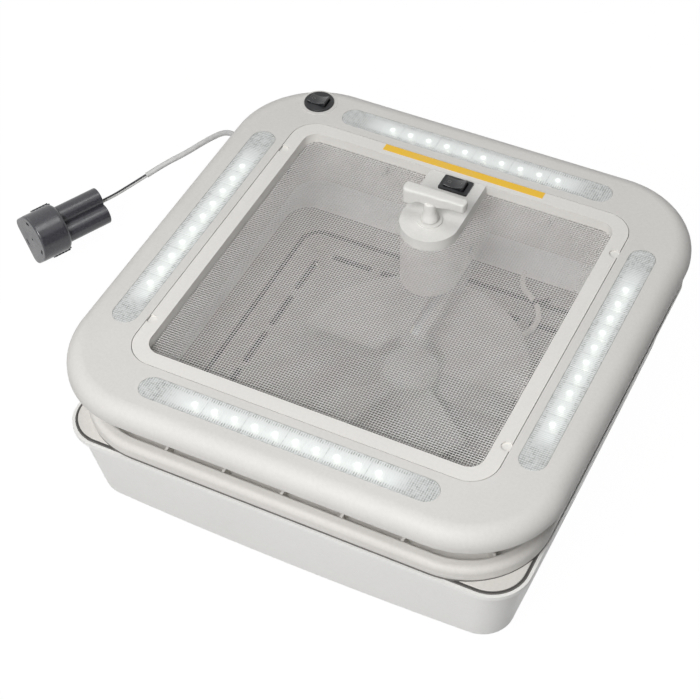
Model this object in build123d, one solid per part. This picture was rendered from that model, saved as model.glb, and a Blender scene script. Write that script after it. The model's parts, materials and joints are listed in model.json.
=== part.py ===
"""Caravan roof vent with a lift-up lid, fan, LED trim, fly screen and a small battery pack on a lead.

The vent lies on its lid, inner side up, as a buyer sees it on a table.
Millimetres. Z points up, from the lid's outer face to the room side. X runs along the
lid hinge and +Y points to the hinge and the crank. The origin is on the surface that the
lid lies on, under the middle of the vent.
"""
from build123d import *
from math import atan2, cos, degrees, hypot, pi, radians, sin, sqrt, tan
import os

# Clearances and small sizes that many pieces share
overrun = 1.0
running_gap = 0.05
seat_gap = 0.02
slip_gap = 0.3
fit_gap = 0.5
merge_depth = 0.5
arc_share = 0.45

# Roof opening that the vent is made for
roof_cut_out_half = 140.0

# Inner trim with its light pockets
trim_overlap = 40.0
trim_half = roof_cut_out_half + trim_overlap
trim_corner = 68.0
trim_top = 134.0
trim_depth = 14.5
trim_wall = 3.0
trim_edge_round = 12.5
opening_inset = 5.5
trim_opening_half = roof_cut_out_half - opening_inset
trim_opening_corner = 21.0
trim_inner_wall = 2.5
trim_lip_reach = 9.0
trim_lip_thickness = 2.2
trim_rib_thickness = 1.6
trim_rib_depth = 8.0
trim_low = trim_top - trim_depth

# Light bars
bar_end_inset = 71.5
bar_length = 2 * (trim_half - bar_end_inset)
bar_width = 18.8
bar_inset = 29.3
bar_offset = trim_half - bar_inset
bar_gap = 0.2
lens_thickness = 2.0
lens_wall = 1.2
lens_depth = 4.2
pocket_depth = 8.0
pocket_wall = 1.6
board_width = 10.0
board_thickness = 1.2
board_end_gap = 9.0
diode_count = 10
diode_pitch = 14.85
diode_side = 3.5
diode_height = 1.4

# Neck, flange and bead of the base frame
neck_clearance = 1.5
neck_half = roof_cut_out_half - neck_clearance
neck_wall = 3.0
neck_corner = 24.0
neck_top = 122.0
ledge_reach = 10.0
ledge_thickness = 2.5
flange_overlap = 31.0
flange_half = roof_cut_out_half + flange_overlap
flange_corner = 60.0
flange_low = 75.0
flange_thickness = 3.0
bead_width = 10.0
bead_top = 88.0
bead_outer_round = 4.5
bead_inner_round = 2.5
bead_low_round = 4.0
bead_inner_half = flange_half - bead_width
rib_pitch = 44.0
rib_thickness = 2.0
rib_height = 9.0
rib_count = 5
fixing_inset = 10.0
fixing_offset = roof_cut_out_half + fixing_inset
fixing_spread = 66.0
fixing_hole_radius = 2.25
boss_radius = 3.8
boss_height = 9.0
boss_hole_radius = 1.4

# Screws of the trim
trim_screw_spread = 66.0
trim_screw_inset = 9.6
trim_screw_head_radius = 3.0
trim_screw_head_height = 1.6
trim_screw_length = 10.0

# Screen frame and net
screen_half = trim_opening_half - fit_gap
screen_corner = 20.5
screen_border = 11.0
screen_window_half = screen_half - screen_border
screen_window_corner = 11.0
screen_plate = 2.4
screen_wall = 1.8
screen_notch_radius = 4.0
screen_notch_depth = 1.6
screen_notch_inset = 37.5
screen_notch_place = screen_half - screen_notch_inset
screen_notch_edge = 2.5
screen_notch_offset = screen_half - screen_notch_edge
net_drop = 8.2
net_thickness = 0.6
net_bar = 1.6
net_gap_count = 17
clip_length = 14.0
clip_thickness = 0.8
clip_height = 6.0
clip_foot = 4.0
clip_place = 40.0

# Label strip on the screen frame, kept blank
label_length = 128.0
label_width = 6.4
label_thickness = 0.2
label_edge = 0.4
label_offset = screen_half - label_width / 2 - label_edge

# Lid: outer shell
lid_rim_half = flange_half
lid_rim_corner = 28.0
lid_rim_low = 70.5
lid_rim_overhang = 4.0
lid_taper = 10.0
lid_high_half = lid_rim_half - lid_rim_overhang
lid_high_corner = lid_rim_corner - lid_rim_overhang
lid_low_half = lid_high_half - lid_taper
lid_low_corner = 22.0
lid_wall = 2.6
lid_crown_radius = 1650.0
lid_flat_inset = 7.0
lid_flat_radius = lid_low_half - lid_flat_inset
lid_rim_top = 74.0
lid_edge_round = 5.0
lid_recess_inset = 49.0
lid_recess_half = lid_low_half - lid_recess_inset
lid_recess_width = 4.0
lid_recess_depth = 0.8
lid_recess_corner = 16.0
seal_inset = 5.8
seal_inner_half = lid_rim_half - seal_inset
seal_width = 2.6
seal_groove_depth = 1.6
seal_gap = 0.3

# Lid: inner liner
liner_top = 20.0
liner_thickness = 2.2
liner_low = liner_top - liner_thickness
liner_taper_share = (liner_low - lid_wall) / (lid_rim_low - lid_wall)
liner_half = lid_low_half - lid_wall + lid_taper * liner_taper_share - fit_gap
liner_corner = lid_low_corner - lid_wall + fit_gap
groove_inset = 24.0
groove_half = lid_low_half - groove_inset
groove_width = 3.5
groove_depth = 1.2
groove_corner = 16.0
liner_bead_width = 3.0
liner_bead_height = 1.4
slot_length = 35.0
slot_width = 6.0
slot_inset = 46.0
slot_offset = lid_low_half - slot_inset
slot_pitch = 42.0
slot_count = 5
liner_screw_inset_x = 43.5
liner_screw_x = lid_low_half - liner_screw_inset_x
liner_screw_inset_y = 42.0
liner_screw_y = lid_low_half - liner_screw_inset_y
liner_post_radius = 5.0
liner_post_hole = 1.4
liner_screw_head_radius = 4.0
liner_screw_head_height = 1.8
liner_screw_length = 12.0

# Lid hinge
hinge_reach = 5.0
hinge_y = flange_half + hinge_reach
hinge_z = 70.0
hinge_inset = 71.0
hinge_place = flange_half - hinge_inset
hinge_lug_width = 11.4
hinge_ear_width = 6.0
hinge_barrel_radius = 3.8
hinge_pin_radius = 2.0
hinge_pin_overhang = 0.6
hinge_web_depth = 8.0

# Crank, worm and lift arm
crank_inset = 51.0
crank_y = screen_window_half - crank_inset
crank_shaft_radius = 3.5
crank_shaft_low = 77.0
crank_collar_radius = 9.0
crank_collar_height = 1.5
gear_module = 2.5
gear_full_count = 16
gear_made_count = 6
gear_addendum = 1.8
gear_dedendum = 2.4
gear_tooth_tip = 1.8
gear_tooth_root = 3.6
gear_width = 6.0
gear_hub_radius = 8.0
worm_pitch_radius = 7.0
worm_core_radius = 4.6
worm_thread_tip = 1.4
worm_thread_root = 3.4
worm_turn_count = 1.7
worm_end_margin = 0.1
lift_z = 90.0
lift_shaft_radius = 4.0
arm_x = 13.0
arm_thickness = 5.0
arm_hub_radius = 8.0
arm_neck_width = 9.0
arm_leg_height = 7.0
glide_radius = 4.5
glide_length = 13.0
bush_thickness = 1.4

# Operator housing and its cover
housing_half = 21.5
housing_wall = 2.5
housing_low = 78.0
housing_top = 124.0
housing_floor = 2.5
housing_floor_reach = 6.0
cover_half = 22.0
cover_wall = 2.0
cover_plate = 2.2
housing_screw_x = 12.0
housing_screw_z = 98.0
housing_screw_radius = 2.0
housing_screw_head_radius = 3.8
housing_screw_head_height = 2.4

# Crank knob
knob_bar_length = 48.5
knob_bar_shift = 3.0
knob_bar_width = 8.0
knob_bar_low = 149.0
knob_bar_height = 11.0
knob_bar_top = knob_bar_low + knob_bar_height
knob_cap_thickness = 10.0
crank_shaft_top = knob_bar_top - knob_cap_thickness
knob_bar_round = 2.5
knob_stem_low_radius = 7.0
knob_stem_high_radius = 4.6
knob_lift = 0.5

# Switches
fan_switch_x = 2.0
fan_switch_inset = 10.0
fan_switch_y = screen_window_half - fan_switch_inset
fan_bezel_length = 22.8
fan_bezel_width = 14.8
fan_body_length = 19.4
fan_body_width = 13.0
fan_rocker_length = 15.6
fan_rocker_width = 9.6
switch_bezel_height = 1.6
switch_depth = 15.0
switch_tilt_angle = 7.0
light_switch_inset_x = 48.5
light_switch_x = light_switch_inset_x - trim_half
light_switch_inset_y = 25.0
light_switch_y = trim_half - light_switch_inset_y
light_bezel_radius = 11.5
light_body_radius = 10.0
light_rocker_length = 14.4
light_rocker_width = 9.4
light_boss_radius = 14.0
light_boss_height = 0.4
rocker_proud = 2.6
rocker_depth = 4.5
rocker_pivot_drop = 1.5
rocker_gap = 0.6
switch_wall = 1.2
rocker_pin_radius = 0.8

# Fan on the lid
fan_x = 14.0
fan_glide_shift = 12.0
motor_radius = 18.0
motor_height = 18.0
motor_edge_round = 1.5
inlet_width = 7.0
inlet_height = 5.0
inlet_reach = 23.0
fan_shaft_radius = 1.5
fan_shaft_sink = 10.0
cup_radius = 22.0
cup_wall = 2.4
cup_low = 26.0
cup_top = 44.0
blade_count = 5
blade_radius = 78.0
blade_thickness = 1.8
blade_height = 35.0
blade_root_chord = 25.0
blade_tip_chord = 58.0
blade_root_pitch = 34.0
blade_tip_pitch = 15.0
blade_start_angle = -54.0
hub_cap_radius = 20.0
hub_step_shares = (1.0, 0.72, 0.42)
hub_step_height = 2.0
hub_screw_ring = 17.2
hub_screw_radius = 1.9
hub_screw_height = 1.2
hub_screw_count = 3

# Half cowl over the fan, with the track that the lift arm slides in
cowl_inner = 26.0
cowl_gap = 8.0
cowl_outer = blade_radius + cowl_gap
cowl_wall = 2.4
cowl_top = 54.0
cowl_notch_width = 9.0
cowl_notch_height = 6.6
track_length = 86.0
track_head = 8.0
track_width = 18.0
track_wall = 2.0
track_channel_height = 9.6
track_slot = 7.0
track_top_lip = 2.0
foot_length = 14.0
foot_flange_width = 30.0
foot_flange_thickness = 2.0
foot_places_share = (0.42, 0.84)
track_screw_spread = 11.5
track_screw_radius = 1.4
track_screw_head_radius = 2.6
track_screw_head_height = 1.4
track_screw_length = 4.4

# Fan lead on the liner and its tie
fan_lead_radius = 2.1
fan_lead_bends = (
    (44.0, 0.4, 22.6),
    (46.5, -15.0, 24.0),
    (59.5, -24.5, 25.1),
    (71.5, -36.0, 25.2),
    (74.5, -51.0, 23.4),
    (66.0, -67.0, 22.5),
    (54.0, -83.0, 22.5),
    (44.0, -100.0, 22.5),
    (38.0, -116.0, 22.5),
    (28.1, -128.8, 22.5),
)
fan_lead_route = tuple((x, lid_low_half + y, z) for x, y, z in fan_lead_bends)
tie_radius = 3.4
tie_length = 4.0
tie_tail = 9.0
tie_thickness = 1.4

# Battery lead, from the neck to the pack: sheath, then two bare cores
gland_z = 103.0
gland_flange_radius = 6.5
gland_flange_length = 6.5
gland_body_radius = 4.5
gland_y = neck_half - neck_corner - gland_flange_radius
gland_mouth_x = -neck_half - gland_flange_length
lead_radius = 2.2
lead_bends = (
    (0.0, 0.0, 0.0),
    (-18.0, 0.0, 0.0),
    (-39.0, 12.0, -1.5),
    (-60.0, 26.5, -13.5),
    (-81.0, 30.5, -31.5),
    (-101.0, 27.5, -47.0),
    (-117.0, 19.0, -57.5),
    (-128.3, 7.1, -65.0),
)
lead_route = tuple((gland_mouth_x + x, gland_y + y, gland_z + z) for x, y, z in lead_bends)
core_radius = 0.8
core_spacing = 1.0
core_bends = (
    (-128.3, 7.1, -65.0),
    (-133.9, 1.2, -68.7),
    (-140.2, -9.0, -71.4),
    (-145.0, -20.1, -72.0),
    (-150.5, -30.8, -72.0),
)
core_route = tuple((gland_mouth_x + x, gland_y + y, gland_z + z) for x, y, z in core_bends)

# Battery pack
pack_shift_x = -179.6
pack_x = gland_mouth_x + pack_shift_x
pack_shift_y = -87.8
pack_y = gland_y + pack_shift_y
pack_z = 27.1
pack_heading_angle = 63.0
pack_roll_angle = 45.0
pack_base_length = 26.0
pack_base_radius = 20.0
pack_base_depth = 42.0
pack_base_corner = 7.0
pack_edge_round = 1.6
pack_shoulder = 4.0
pack_stem_length = 38.0
cell_radius = 7.0
pack_stem_wall = 1.5
pack_slot_length = 5.0
pack_slot_width = 2.2
pack_slot_depth = 1.0
pack_slot_ring = 14.5
latch_length = 16.0
latch_height = 9.0
latch_thickness = 3.0
latch_rib_count = 5
latch_rib_height = 1.0
latch_rib_width = 1.2
latch_travel = 1.6
latch_rail_gap = 0.35
contact_width = 3.0
contact_length = 9.0
contact_thickness = 0.8
contact_spread = 6.0

# Places that follow from the sizes above
gear_pitch_radius = gear_module * gear_full_count / 2
gear_outer_radius = gear_pitch_radius + gear_addendum
gear_root_radius = gear_pitch_radius - gear_dedendum
tooth_pitch = pi * gear_module
worm_outer_radius = worm_pitch_radius + gear_addendum
lift_y = crank_y + worm_pitch_radius + gear_pitch_radius
glide_y = 2 * lift_y - hinge_y
glide_z = hinge_z
track_start = glide_y - track_head
fan_y = glide_y - fan_glide_shift
net_low = trim_top - net_drop
ledge_half = neck_half - neck_wall - ledge_reach
lip_low = neck_top + slip_gap
lip_top = lip_low + trim_lip_thickness
screen_low = lip_top + slip_gap
board_low = trim_top - pocket_depth
arm_side = arm_x - arm_thickness / 2


def block(half_x, half_y, corner, low, high, x=0, y=0):
    """Upright block with rounded corners, from one height to another."""
    return Pos(x, y, low) * extrude(RectangleRounded(2 * half_x, 2 * half_y, corner), high - low)


def ring(half, corner, width, low, high):
    """Square ring with rounded corners; half and corner are those of its outer face."""
    inner = block(half - width, half - width, corner - width, low - overrun, high + overrun)
    return block(half, half, corner, low, high) - inner


def bar(x0, x1, y0, y1, low, high):
    """Plain box between two corners."""
    middle = Pos((x0 + x1) / 2, (y0 + y1) / 2, (low + high) / 2)
    return middle * Box(x1 - x0, y1 - y0, high - low)


def rod(radius, low, high, x=0, y=0):
    """Upright cylinder between two heights."""
    return Pos(x, y, (low + high) / 2) * Cylinder(radius, high - low)


def cross_rod(radius, x0, x1, y, z):
    """Cylinder that lies along X."""
    return Pos((x0 + x1) / 2, y, z) * Rot(0, 90, 0) * Cylinder(radius, x1 - x0)


def four_sides(piece):
    """The piece, made for the side at -Y, on all four sides."""
    return [Rot(0, 0, 90 * turn) * piece for turn in range(4)]


def steps(count, pitch):
    """Evenly spaced places about zero."""
    return [(place - (count - 1) / 2) * pitch for place in range(count)]


def round_top(piece, radius):
    """Rounds the edges of the piece's highest face."""
    return fillet(piece.edges().group_by(Axis.Z)[-1], radius)


def inner_trim():
    """Room-side trim: dished shell, inner wall with a lip, four light pockets and ribs."""
    outer = round_top(block(trim_half, trim_half, trim_corner, trim_low, trim_top), trim_edge_round)
    hollow_half = trim_half - trim_wall
    hollow = block(hollow_half, hollow_half, trim_corner - trim_wall, trim_low - overrun,
                   trim_top - trim_wall)
    hollow = round_top(hollow, trim_edge_round - trim_wall)
    wall_half = trim_opening_half + trim_inner_wall
    wall = block(wall_half, wall_half, trim_opening_corner + trim_inner_wall, lip_low,
                 trim_top - merge_depth)
    ribs = []
    for place in steps(rib_count, rib_pitch):
        side = bar(place - trim_rib_thickness / 2, place + trim_rib_thickness / 2, -trim_half,
                   -trim_opening_half,
                   trim_top - trim_wall - trim_rib_depth, trim_top - trim_wall + merge_depth)
        ribs += four_sides(side)
    pocket_boss = SlotOverall(bar_length + 2 * (bar_gap + pocket_wall),
                              bar_width + 2 * (bar_gap + pocket_wall))
    boss = Pos(0, -bar_offset, board_low - pocket_wall) * extrude(pocket_boss,
        pocket_depth + pocket_wall - merge_depth)
    switch_boss = rod(light_boss_radius, trim_top - trim_wall, trim_top + light_boss_height,
                      light_switch_x, light_switch_y)
    trim = outer - hollow + wall + [outer & rib for rib in ribs] + four_sides(boss) + switch_boss
    opening = block(trim_opening_half, trim_opening_half, trim_opening_corner, lip_top,
                    trim_top + overrun)
    lip_half = trim_opening_half - trim_lip_reach
    lip_hole = block(lip_half, lip_half, trim_opening_corner - trim_lip_reach, lip_low - overrun,
                     lip_top + overrun)
    pocket_plan = SlotOverall(bar_length + 2 * bar_gap, bar_width + 2 * bar_gap)
    pocket = Pos(0, -bar_offset, board_low) * extrude(pocket_plan, pocket_depth + overrun)
    switch_hole = rod(light_body_radius + bar_gap, trim_low, trim_top + light_boss_height + overrun,
                      light_switch_x, light_switch_y)
    below_trim = block(wall_half, wall_half, trim_opening_corner + trim_inner_wall, trim_low - overrun,
                       lip_low)
    trim -= [opening, lip_hole, below_trim, switch_hole] + four_sides(pocket)
    for x, y in trim_screw_places():
        trim -= rod(boss_hole_radius + slip_gap, lip_low - overrun, lip_top + overrun, x, y)
    return trim


def trim_screw_places():
    """Two screws on each side of the opening, in the lip under the screen frame."""
    offset = neck_half - trim_screw_inset
    return [(s * trim_screw_spread, t * offset) for s in (-1, 1) for t in (-1, 1)] + [
        (t * offset, s * trim_screw_spread) for s in (-1, 1) for t in (-1, 1)]


def base_frame():
    """Neck, flange, rounded bead, ribs, ledge for the trim, fixing holes and hinge ears."""
    neck = ring(neck_half, neck_corner, neck_wall, flange_low, neck_top)
    ledge = ring(neck_half - merge_depth, neck_corner - merge_depth,
                 ledge_reach + neck_wall - merge_depth,
                 neck_top - ledge_thickness, neck_top)
    plate_half = bead_inner_half + merge_depth
    flange = block(plate_half, plate_half, flange_corner - bead_width + merge_depth, flange_low,
                   flange_low + flange_thickness)
    flange -= block(neck_half - neck_wall, neck_half - neck_wall, neck_corner - neck_wall,
                    flange_low - overrun,
                    flange_low + flange_thickness + overrun)
    bead = block(flange_half, flange_half, flange_corner, flange_low, bead_top)
    bead = round_top(bead, bead_outer_round)
    bead = fillet(bead.edges().group_by(Axis.Z)[0], bead_low_round)
    bead_hole = block(bead_inner_half, bead_inner_half, flange_corner - bead_width,
                      flange_low - overrun, bead_top + overrun)
    bead = bead - bead_hole
    inner_edges = [edge for edge in bead.edges().group_by(Axis.Z)[-1]
                   if max(abs(edge.center().X), abs(edge.center().Y)) < bead_inner_half + overrun]
    bead = fillet(inner_edges, bead_inner_round)
    frame = neck + ledge + flange + bead
    rib_top = flange_low + flange_thickness + rib_height
    for place in steps(rib_count, rib_pitch):
        rib = bar(place - rib_thickness / 2, place + rib_thickness / 2, -bead_inner_half - merge_depth,
                  -neck_half + merge_depth, flange_low + flange_thickness - merge_depth, rib_top)
        frame += four_sides(rib)
    corner_start = hypot(neck_half, neck_half) - neck_corner * (hypot(1, 1) - 1) - merge_depth
    corner_end = hypot(bead_inner_half,
                       bead_inner_half) - (flange_corner - bead_width) * (hypot(1, 1) - 1) + merge_depth
    corner_rib = bar(-rib_thickness / 2, rib_thickness / 2, -corner_end, -corner_start,
                     flange_low + flange_thickness - merge_depth, rib_top)
    frame += four_sides(Rot(0, 0, 45) * corner_rib)
    for x, y in trim_screw_places():
        frame += rod(boss_radius, neck_top - ledge_thickness - boss_height, neck_top - merge_depth, x,
                     y)
        frame -= rod(boss_hole_radius, neck_top - ledge_thickness - boss_height + overrun,
                     neck_top + overrun, x, y)
    fixing_low = flange_low - overrun
    fixing_high = flange_low + flange_thickness + overrun
    for x in (-fixing_spread, fixing_spread):
        frame -= four_sides(rod(fixing_hole_radius, fixing_low, fixing_high, x, -fixing_offset))
    for side in (-1, 1):
        for x in hinge_ear_places():
            frame += hinge_ear(side * x)
    bore = hinge_pin_radius + running_gap
    bore_reach = hinge_lug_width / 2 + hinge_ear_width + overrun
    for side in (-1, 1):
        frame -= cross_rod(bore, side * hinge_place - bore_reach, side * hinge_place + bore_reach,
                           hinge_y, hinge_z)
    gland_hole = cross_rod(gland_body_radius, -neck_half - overrun, -neck_half + neck_wall + overrun,
                           gland_y, gland_z)
    frame -= gland_hole
    for x in (-housing_screw_x, housing_screw_x):
        frame -= Pos(x, neck_half - neck_wall / 2, housing_screw_z) * Rot(90, 0, 0) * Cylinder(
            housing_screw_radius + running_gap, neck_wall + 2 * overrun)
    return frame


def hinge_ear_places():
    """Middle of the two ears that stand beside the lid's lug, on one side."""
    shift = (hinge_lug_width + hinge_ear_width) / 2 + slip_gap
    return (hinge_place - shift, hinge_place + shift)


def hinge_ear(x):
    """Ear under the flange edge that holds one end of a hinge pin."""
    x0 = x - hinge_ear_width / 2
    x1 = x + hinge_ear_width / 2
    arm = bar(x0, x1, flange_half - hinge_web_depth, hinge_y + hinge_barrel_radius, flange_low,
              flange_low + flange_thickness)
    web = bar(x0, x1, flange_half + fit_gap, hinge_y + hinge_barrel_radius, hinge_z,
              flange_low + merge_depth)
    return arm + web + cross_rod(hinge_barrel_radius, x0, x1, hinge_y, hinge_z)


def hinge_pins():
    """Two steel pins of the lid hinge."""
    reach = hinge_lug_width / 2 + slip_gap + hinge_ear_width + hinge_pin_overhang
    return [cross_rod(hinge_pin_radius, s * hinge_place - reach, s * hinge_place + reach, hinge_y,
                      hinge_z) for s in (-1, 1)]


def crown_ball(raised):
    """Large ball that gives the lid's outer face its slight crown about a flat middle."""
    middle = raised + sqrt(lid_crown_radius ** 2 - lid_flat_radius ** 2)
    return Pos(0, 0, middle) * Rot(0, -90, 0) * Sphere(lid_crown_radius)


def lid_shell():
    """Outer lid: crowned face, tapered wall, rim with a seal groove, liner posts and hinge lugs."""
    low_face = RectangleRounded(2 * lid_low_half, 2 * lid_low_half, lid_low_corner)
    high_face = RectangleRounded(2 * lid_high_half, 2 * lid_high_half, lid_high_corner)
    outer = loft([low_face, Pos(0, 0, lid_rim_low) * high_face], ruled=True) & crown_ball(0)
    outline = [edge for edge in outer.edges()
               if overrun < edge.bounding_box().max.Z < lid_rim_low - overrun]
    outer = fillet(outline, lid_edge_round)
    inner_low = RectangleRounded(2 * (lid_low_half - lid_wall), 2 * (lid_low_half - lid_wall),
                                 lid_low_corner - lid_wall)
    inner_half = lid_high_half - lid_wall
    inner_high = RectangleRounded(2 * inner_half, 2 * inner_half, lid_high_corner - lid_wall)
    inner = loft([Pos(0, 0, lid_wall) * inner_low, Pos(0, 0, lid_rim_low) * inner_high], ruled=True)
    inner &= crown_ball(lid_wall)
    rim = block(lid_rim_half, lid_rim_half, lid_rim_corner, lid_rim_low, lid_rim_top)
    mouth = block(inner_half, inner_half, lid_high_corner - lid_wall, lid_rim_low - merge_depth,
                  lid_rim_top + overrun)
    shell = outer + rim
    shell = shell - inner
    shell -= mouth
    seal_half = seal_inner_half + seal_width
    seal_corner = lid_rim_corner - (lid_rim_half - seal_half)
    shell -= ring(seal_half, seal_corner, seal_width, lid_rim_top - seal_groove_depth,
                  lid_rim_top + overrun)
    shell -= ring(lid_recess_half, lid_recess_corner, lid_recess_width, -overrun, lid_recess_depth)
    for x, y in liner_screw_places():
        shell += rod(liner_post_radius, lid_wall - merge_depth, liner_low, x, y)
        shell -= rod(liner_post_hole, lid_wall, liner_top, x, y)
    for side in (-1, 1):
        x0 = side * hinge_place - hinge_lug_width / 2
        x1 = side * hinge_place + hinge_lug_width / 2
        shell += bar(x0, x1, lid_rim_half - overrun, hinge_y, hinge_z, lid_rim_top - slip_gap)
        shell += cross_rod(hinge_barrel_radius, x0, x1, hinge_y, hinge_z)
        shell -= cross_rod(hinge_pin_radius + running_gap, x0 - overrun, x1 + overrun, hinge_y, hinge_z)
    return shell


def lid_seal():
    """Rubber ring in the rim's groove, a little below the flange."""
    half = seal_inner_half + seal_width - seat_gap
    corner = lid_rim_corner - (lid_rim_half - half)
    return ring(half, corner, seal_width - 2 * seat_gap, lid_rim_top - seal_groove_depth,
                flange_low - seal_gap)


def liner_screw_places():
    """The four corner screws of the liner."""
    return [(s * liner_screw_x, t * liner_screw_y) for s in (-1, 1) for t in (-1, 1)]


def lid_liner():
    """Inner panel of the lid, with a groove and a bead round it and five slots a side."""
    liner = block(liner_half, liner_half, liner_corner, liner_low, liner_top)
    bead_half = groove_half - groove_width
    liner += ring(bead_half, groove_corner - groove_width, liner_bead_width, liner_top - merge_depth,
                  liner_top + liner_bead_height)
    liner -= ring(groove_half, groove_corner, groove_width, liner_top - groove_depth,
                  liner_top + overrun)
    slot_low = liner_low - overrun
    slot = extrude(SlotOverall(slot_length, slot_width), liner_thickness + 2 * overrun)
    for x in steps(slot_count, slot_pitch):
        liner -= four_sides(Pos(x, -slot_offset, slot_low) * slot)
    for x, y in liner_screw_places():
        liner -= rod(liner_post_hole + slip_gap, slot_low, liner_top + overrun, x, y)
    return liner


def screws(places, head_radius, head_height, shank_radius, length, seat):
    """Pan-head screws that point down, each head on the same seat height."""
    return [rod(head_radius, seat, seat + head_height, x, y) + rod(shank_radius, seat - length, seat, x,
        y) for x, y in places]


def fan_motor():
    """Motor can on the liner, with a blind bore for the shaft and an inlet block for its lead."""
    high = liner_top + motor_height
    can = fillet(rod(motor_radius, liner_top, high).edges().group_by(Axis.Z)[-1], motor_edge_round)
    can -= rod(fan_shaft_radius + running_gap, high - fan_shaft_sink, high + overrun)
    toward_x, toward_y, lead_z = fan_lead_route[-2]
    angle = degrees(atan2(toward_y - fan_y, toward_x - fan_x))
    inlet = bar(0, inlet_reach, -inlet_width / 2, inlet_width / 2, liner_top, liner_top + inlet_height)
    inlet -= rod(motor_radius - merge_depth, 0, high)
    return Pos(fan_x, fan_y, 0) * (can + Rot(0, 0, angle) * inlet)


def fan_shaft():
    """Steel shaft from the motor into the impeller's cup."""
    low = liner_top + motor_height - fan_shaft_sink + slip_gap
    return rod(fan_shaft_radius, low, cup_top, fan_x, fan_y)


def fan_blade():
    """One twisted blade that points along +X, from the cup's wall to the round tip."""
    root = Plane.YZ.offset(cup_radius - cup_wall / 2) * Rot(0, 0,
        blade_root_pitch) * Rectangle(blade_root_chord, blade_thickness)
    tip = Plane.YZ.offset(blade_radius + blade_thickness) * Rot(0, 0,
        blade_tip_pitch) * Rectangle(blade_tip_chord, blade_thickness)
    return loft([root, tip], ruled=True) & Cylinder(blade_radius, blade_tip_chord)


def fan_impeller():
    """Cup over the motor with five twisted blades round it."""
    cup = rod(cup_radius, cup_low, cup_top)
    blades = [Pos(0, 0, blade_height) * Rot(0, 0,
        blade_start_angle + 360 * turn / blade_count) * fan_blade() for turn in range(blade_count)]
    impeller = cup + blades
    impeller -= rod(cup_radius - cup_wall, -cup_top, cup_top - cup_wall)
    impeller -= rod(fan_shaft_radius + seat_gap, cup_low, cup_top + overrun)
    return Pos(fan_x, fan_y, 0) * impeller


def hub_cap():
    """Stepped cap on the impeller's cup."""
    steps_high = [rod(share * hub_cap_radius, cup_top, cup_top + (level + 1) * hub_step_height, fan_x,
                      fan_y)
                  for level, share in enumerate(hub_step_shares)]
    return steps_high[0] + steps_high[1:]


def hub_screw_places():
    """The three small screws on the hub cap."""
    angles = [radians(90 + 360 * turn / hub_screw_count) for turn in range(hub_screw_count)]
    return [(fan_x + hub_screw_ring * cos(a), fan_y + hub_screw_ring * sin(a)) for a in angles]


def hub_screws():
    """Screw heads that lie on the cap's lowest step."""
    top = cup_top + hub_step_height
    return [rod(hub_screw_radius, top, top + hub_screw_height, x, y) for x, y in hub_screw_places()]


def fan_cowl():
    """Half cowl over the fan's hinge side: a top plate, an outer skirt and a notch for the lead."""
    half_disc = rod(cowl_outer, liner_top, cowl_top) - rod(cowl_outer - cowl_wall, liner_top - overrun,
                                                           cowl_top - cowl_wall)
    half_disc -= rod(cowl_inner, liner_top - overrun, cowl_top + overrun)
    half_disc -= bar(-cowl_outer - overrun, cowl_outer + overrun, -cowl_outer - overrun, 0, -overrun,
                     cowl_top + overrun)
    cowl = Pos(fan_x, fan_y, 0) * half_disc
    crossing = (Vector(*fan_lead_route[5]) + Vector(*fan_lead_route[6])) * 0.5
    angle = degrees(atan2(crossing.Y - fan_y, crossing.X - fan_x))
    notch = bar(cowl_outer - 4 * cowl_wall, cowl_outer + cowl_wall, -cowl_notch_width / 2,
                cowl_notch_width / 2,
                liner_top - overrun, liner_top + cowl_notch_height)
    cowl -= Pos(fan_x, fan_y, 0) * Rot(0, 0, angle) * notch
    for x, y in track_screw_places():
        cowl -= rod(track_screw_radius + seat_gap, cowl_top - cowl_wall - overrun, cowl_top + overrun,
                    x, y)
    return cowl


def track_foot_places():
    """Where the track's two feet stand along Y."""
    return [track_start + share * track_length for share in foot_places_share]


def track_screw_places():
    """Two screws through each foot's flange into the cowl."""
    return [(arm_x + side * track_screw_spread, y) for y in track_foot_places() for side in (-1, 1)]


def slide_track():
    """Channel on two feet; the lift arm's glide runs in it and can't leave it upwards."""
    low = glide_z - track_channel_height / 2
    high = glide_z + track_channel_height / 2
    x0 = arm_x - track_width / 2
    x1 = arm_x + track_width / 2
    y1 = track_start + track_length
    track = bar(x0, x1, track_start, y1, low - track_wall, high + track_top_lip)
    track -= bar(x0 + track_wall, x1 - track_wall, track_start - overrun, y1 + overrun, low, high)
    track -= bar(arm_x - track_slot / 2, arm_x + track_slot / 2, track_start - overrun, y1 + overrun,
                 high - merge_depth, high + track_top_lip + overrun)
    track += bar(x0, x1, track_start, track_start + track_wall, low, high)
    half_flange = foot_flange_width / 2
    for y in track_foot_places():
        y0 = y - foot_length / 2
        track += bar(x0 + track_wall, x1 - track_wall, y0, y0 + foot_length, cowl_top,
                     low - merge_depth)
        track += bar(arm_x - half_flange, arm_x + half_flange, y0, y0 + foot_length, cowl_top,
                     cowl_top + foot_flange_thickness)
    for x, y in track_screw_places():
        track -= rod(track_screw_radius + seat_gap, cowl_top - overrun,
                     cowl_top + foot_flange_thickness + overrun, x, y)
    return track


def sector_tooth(angle):
    """One straight-sided tooth of the sector, at an angle from -Y towards +Z."""
    half_root = gear_tooth_root / 2
    half_tip = gear_tooth_tip / 2
    outline = Polyline((gear_root_radius - merge_depth, -half_root), (gear_root_radius, -half_root),
                       (gear_outer_radius, -half_tip), (gear_outer_radius, half_tip),
                       (gear_root_radius, half_root), (gear_root_radius - merge_depth,
                                                       half_root), close=True)
    tooth = extrude(make_face(outline), gear_width / 2, both=True)
    return Rot(0, 0, angle) * tooth


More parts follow.
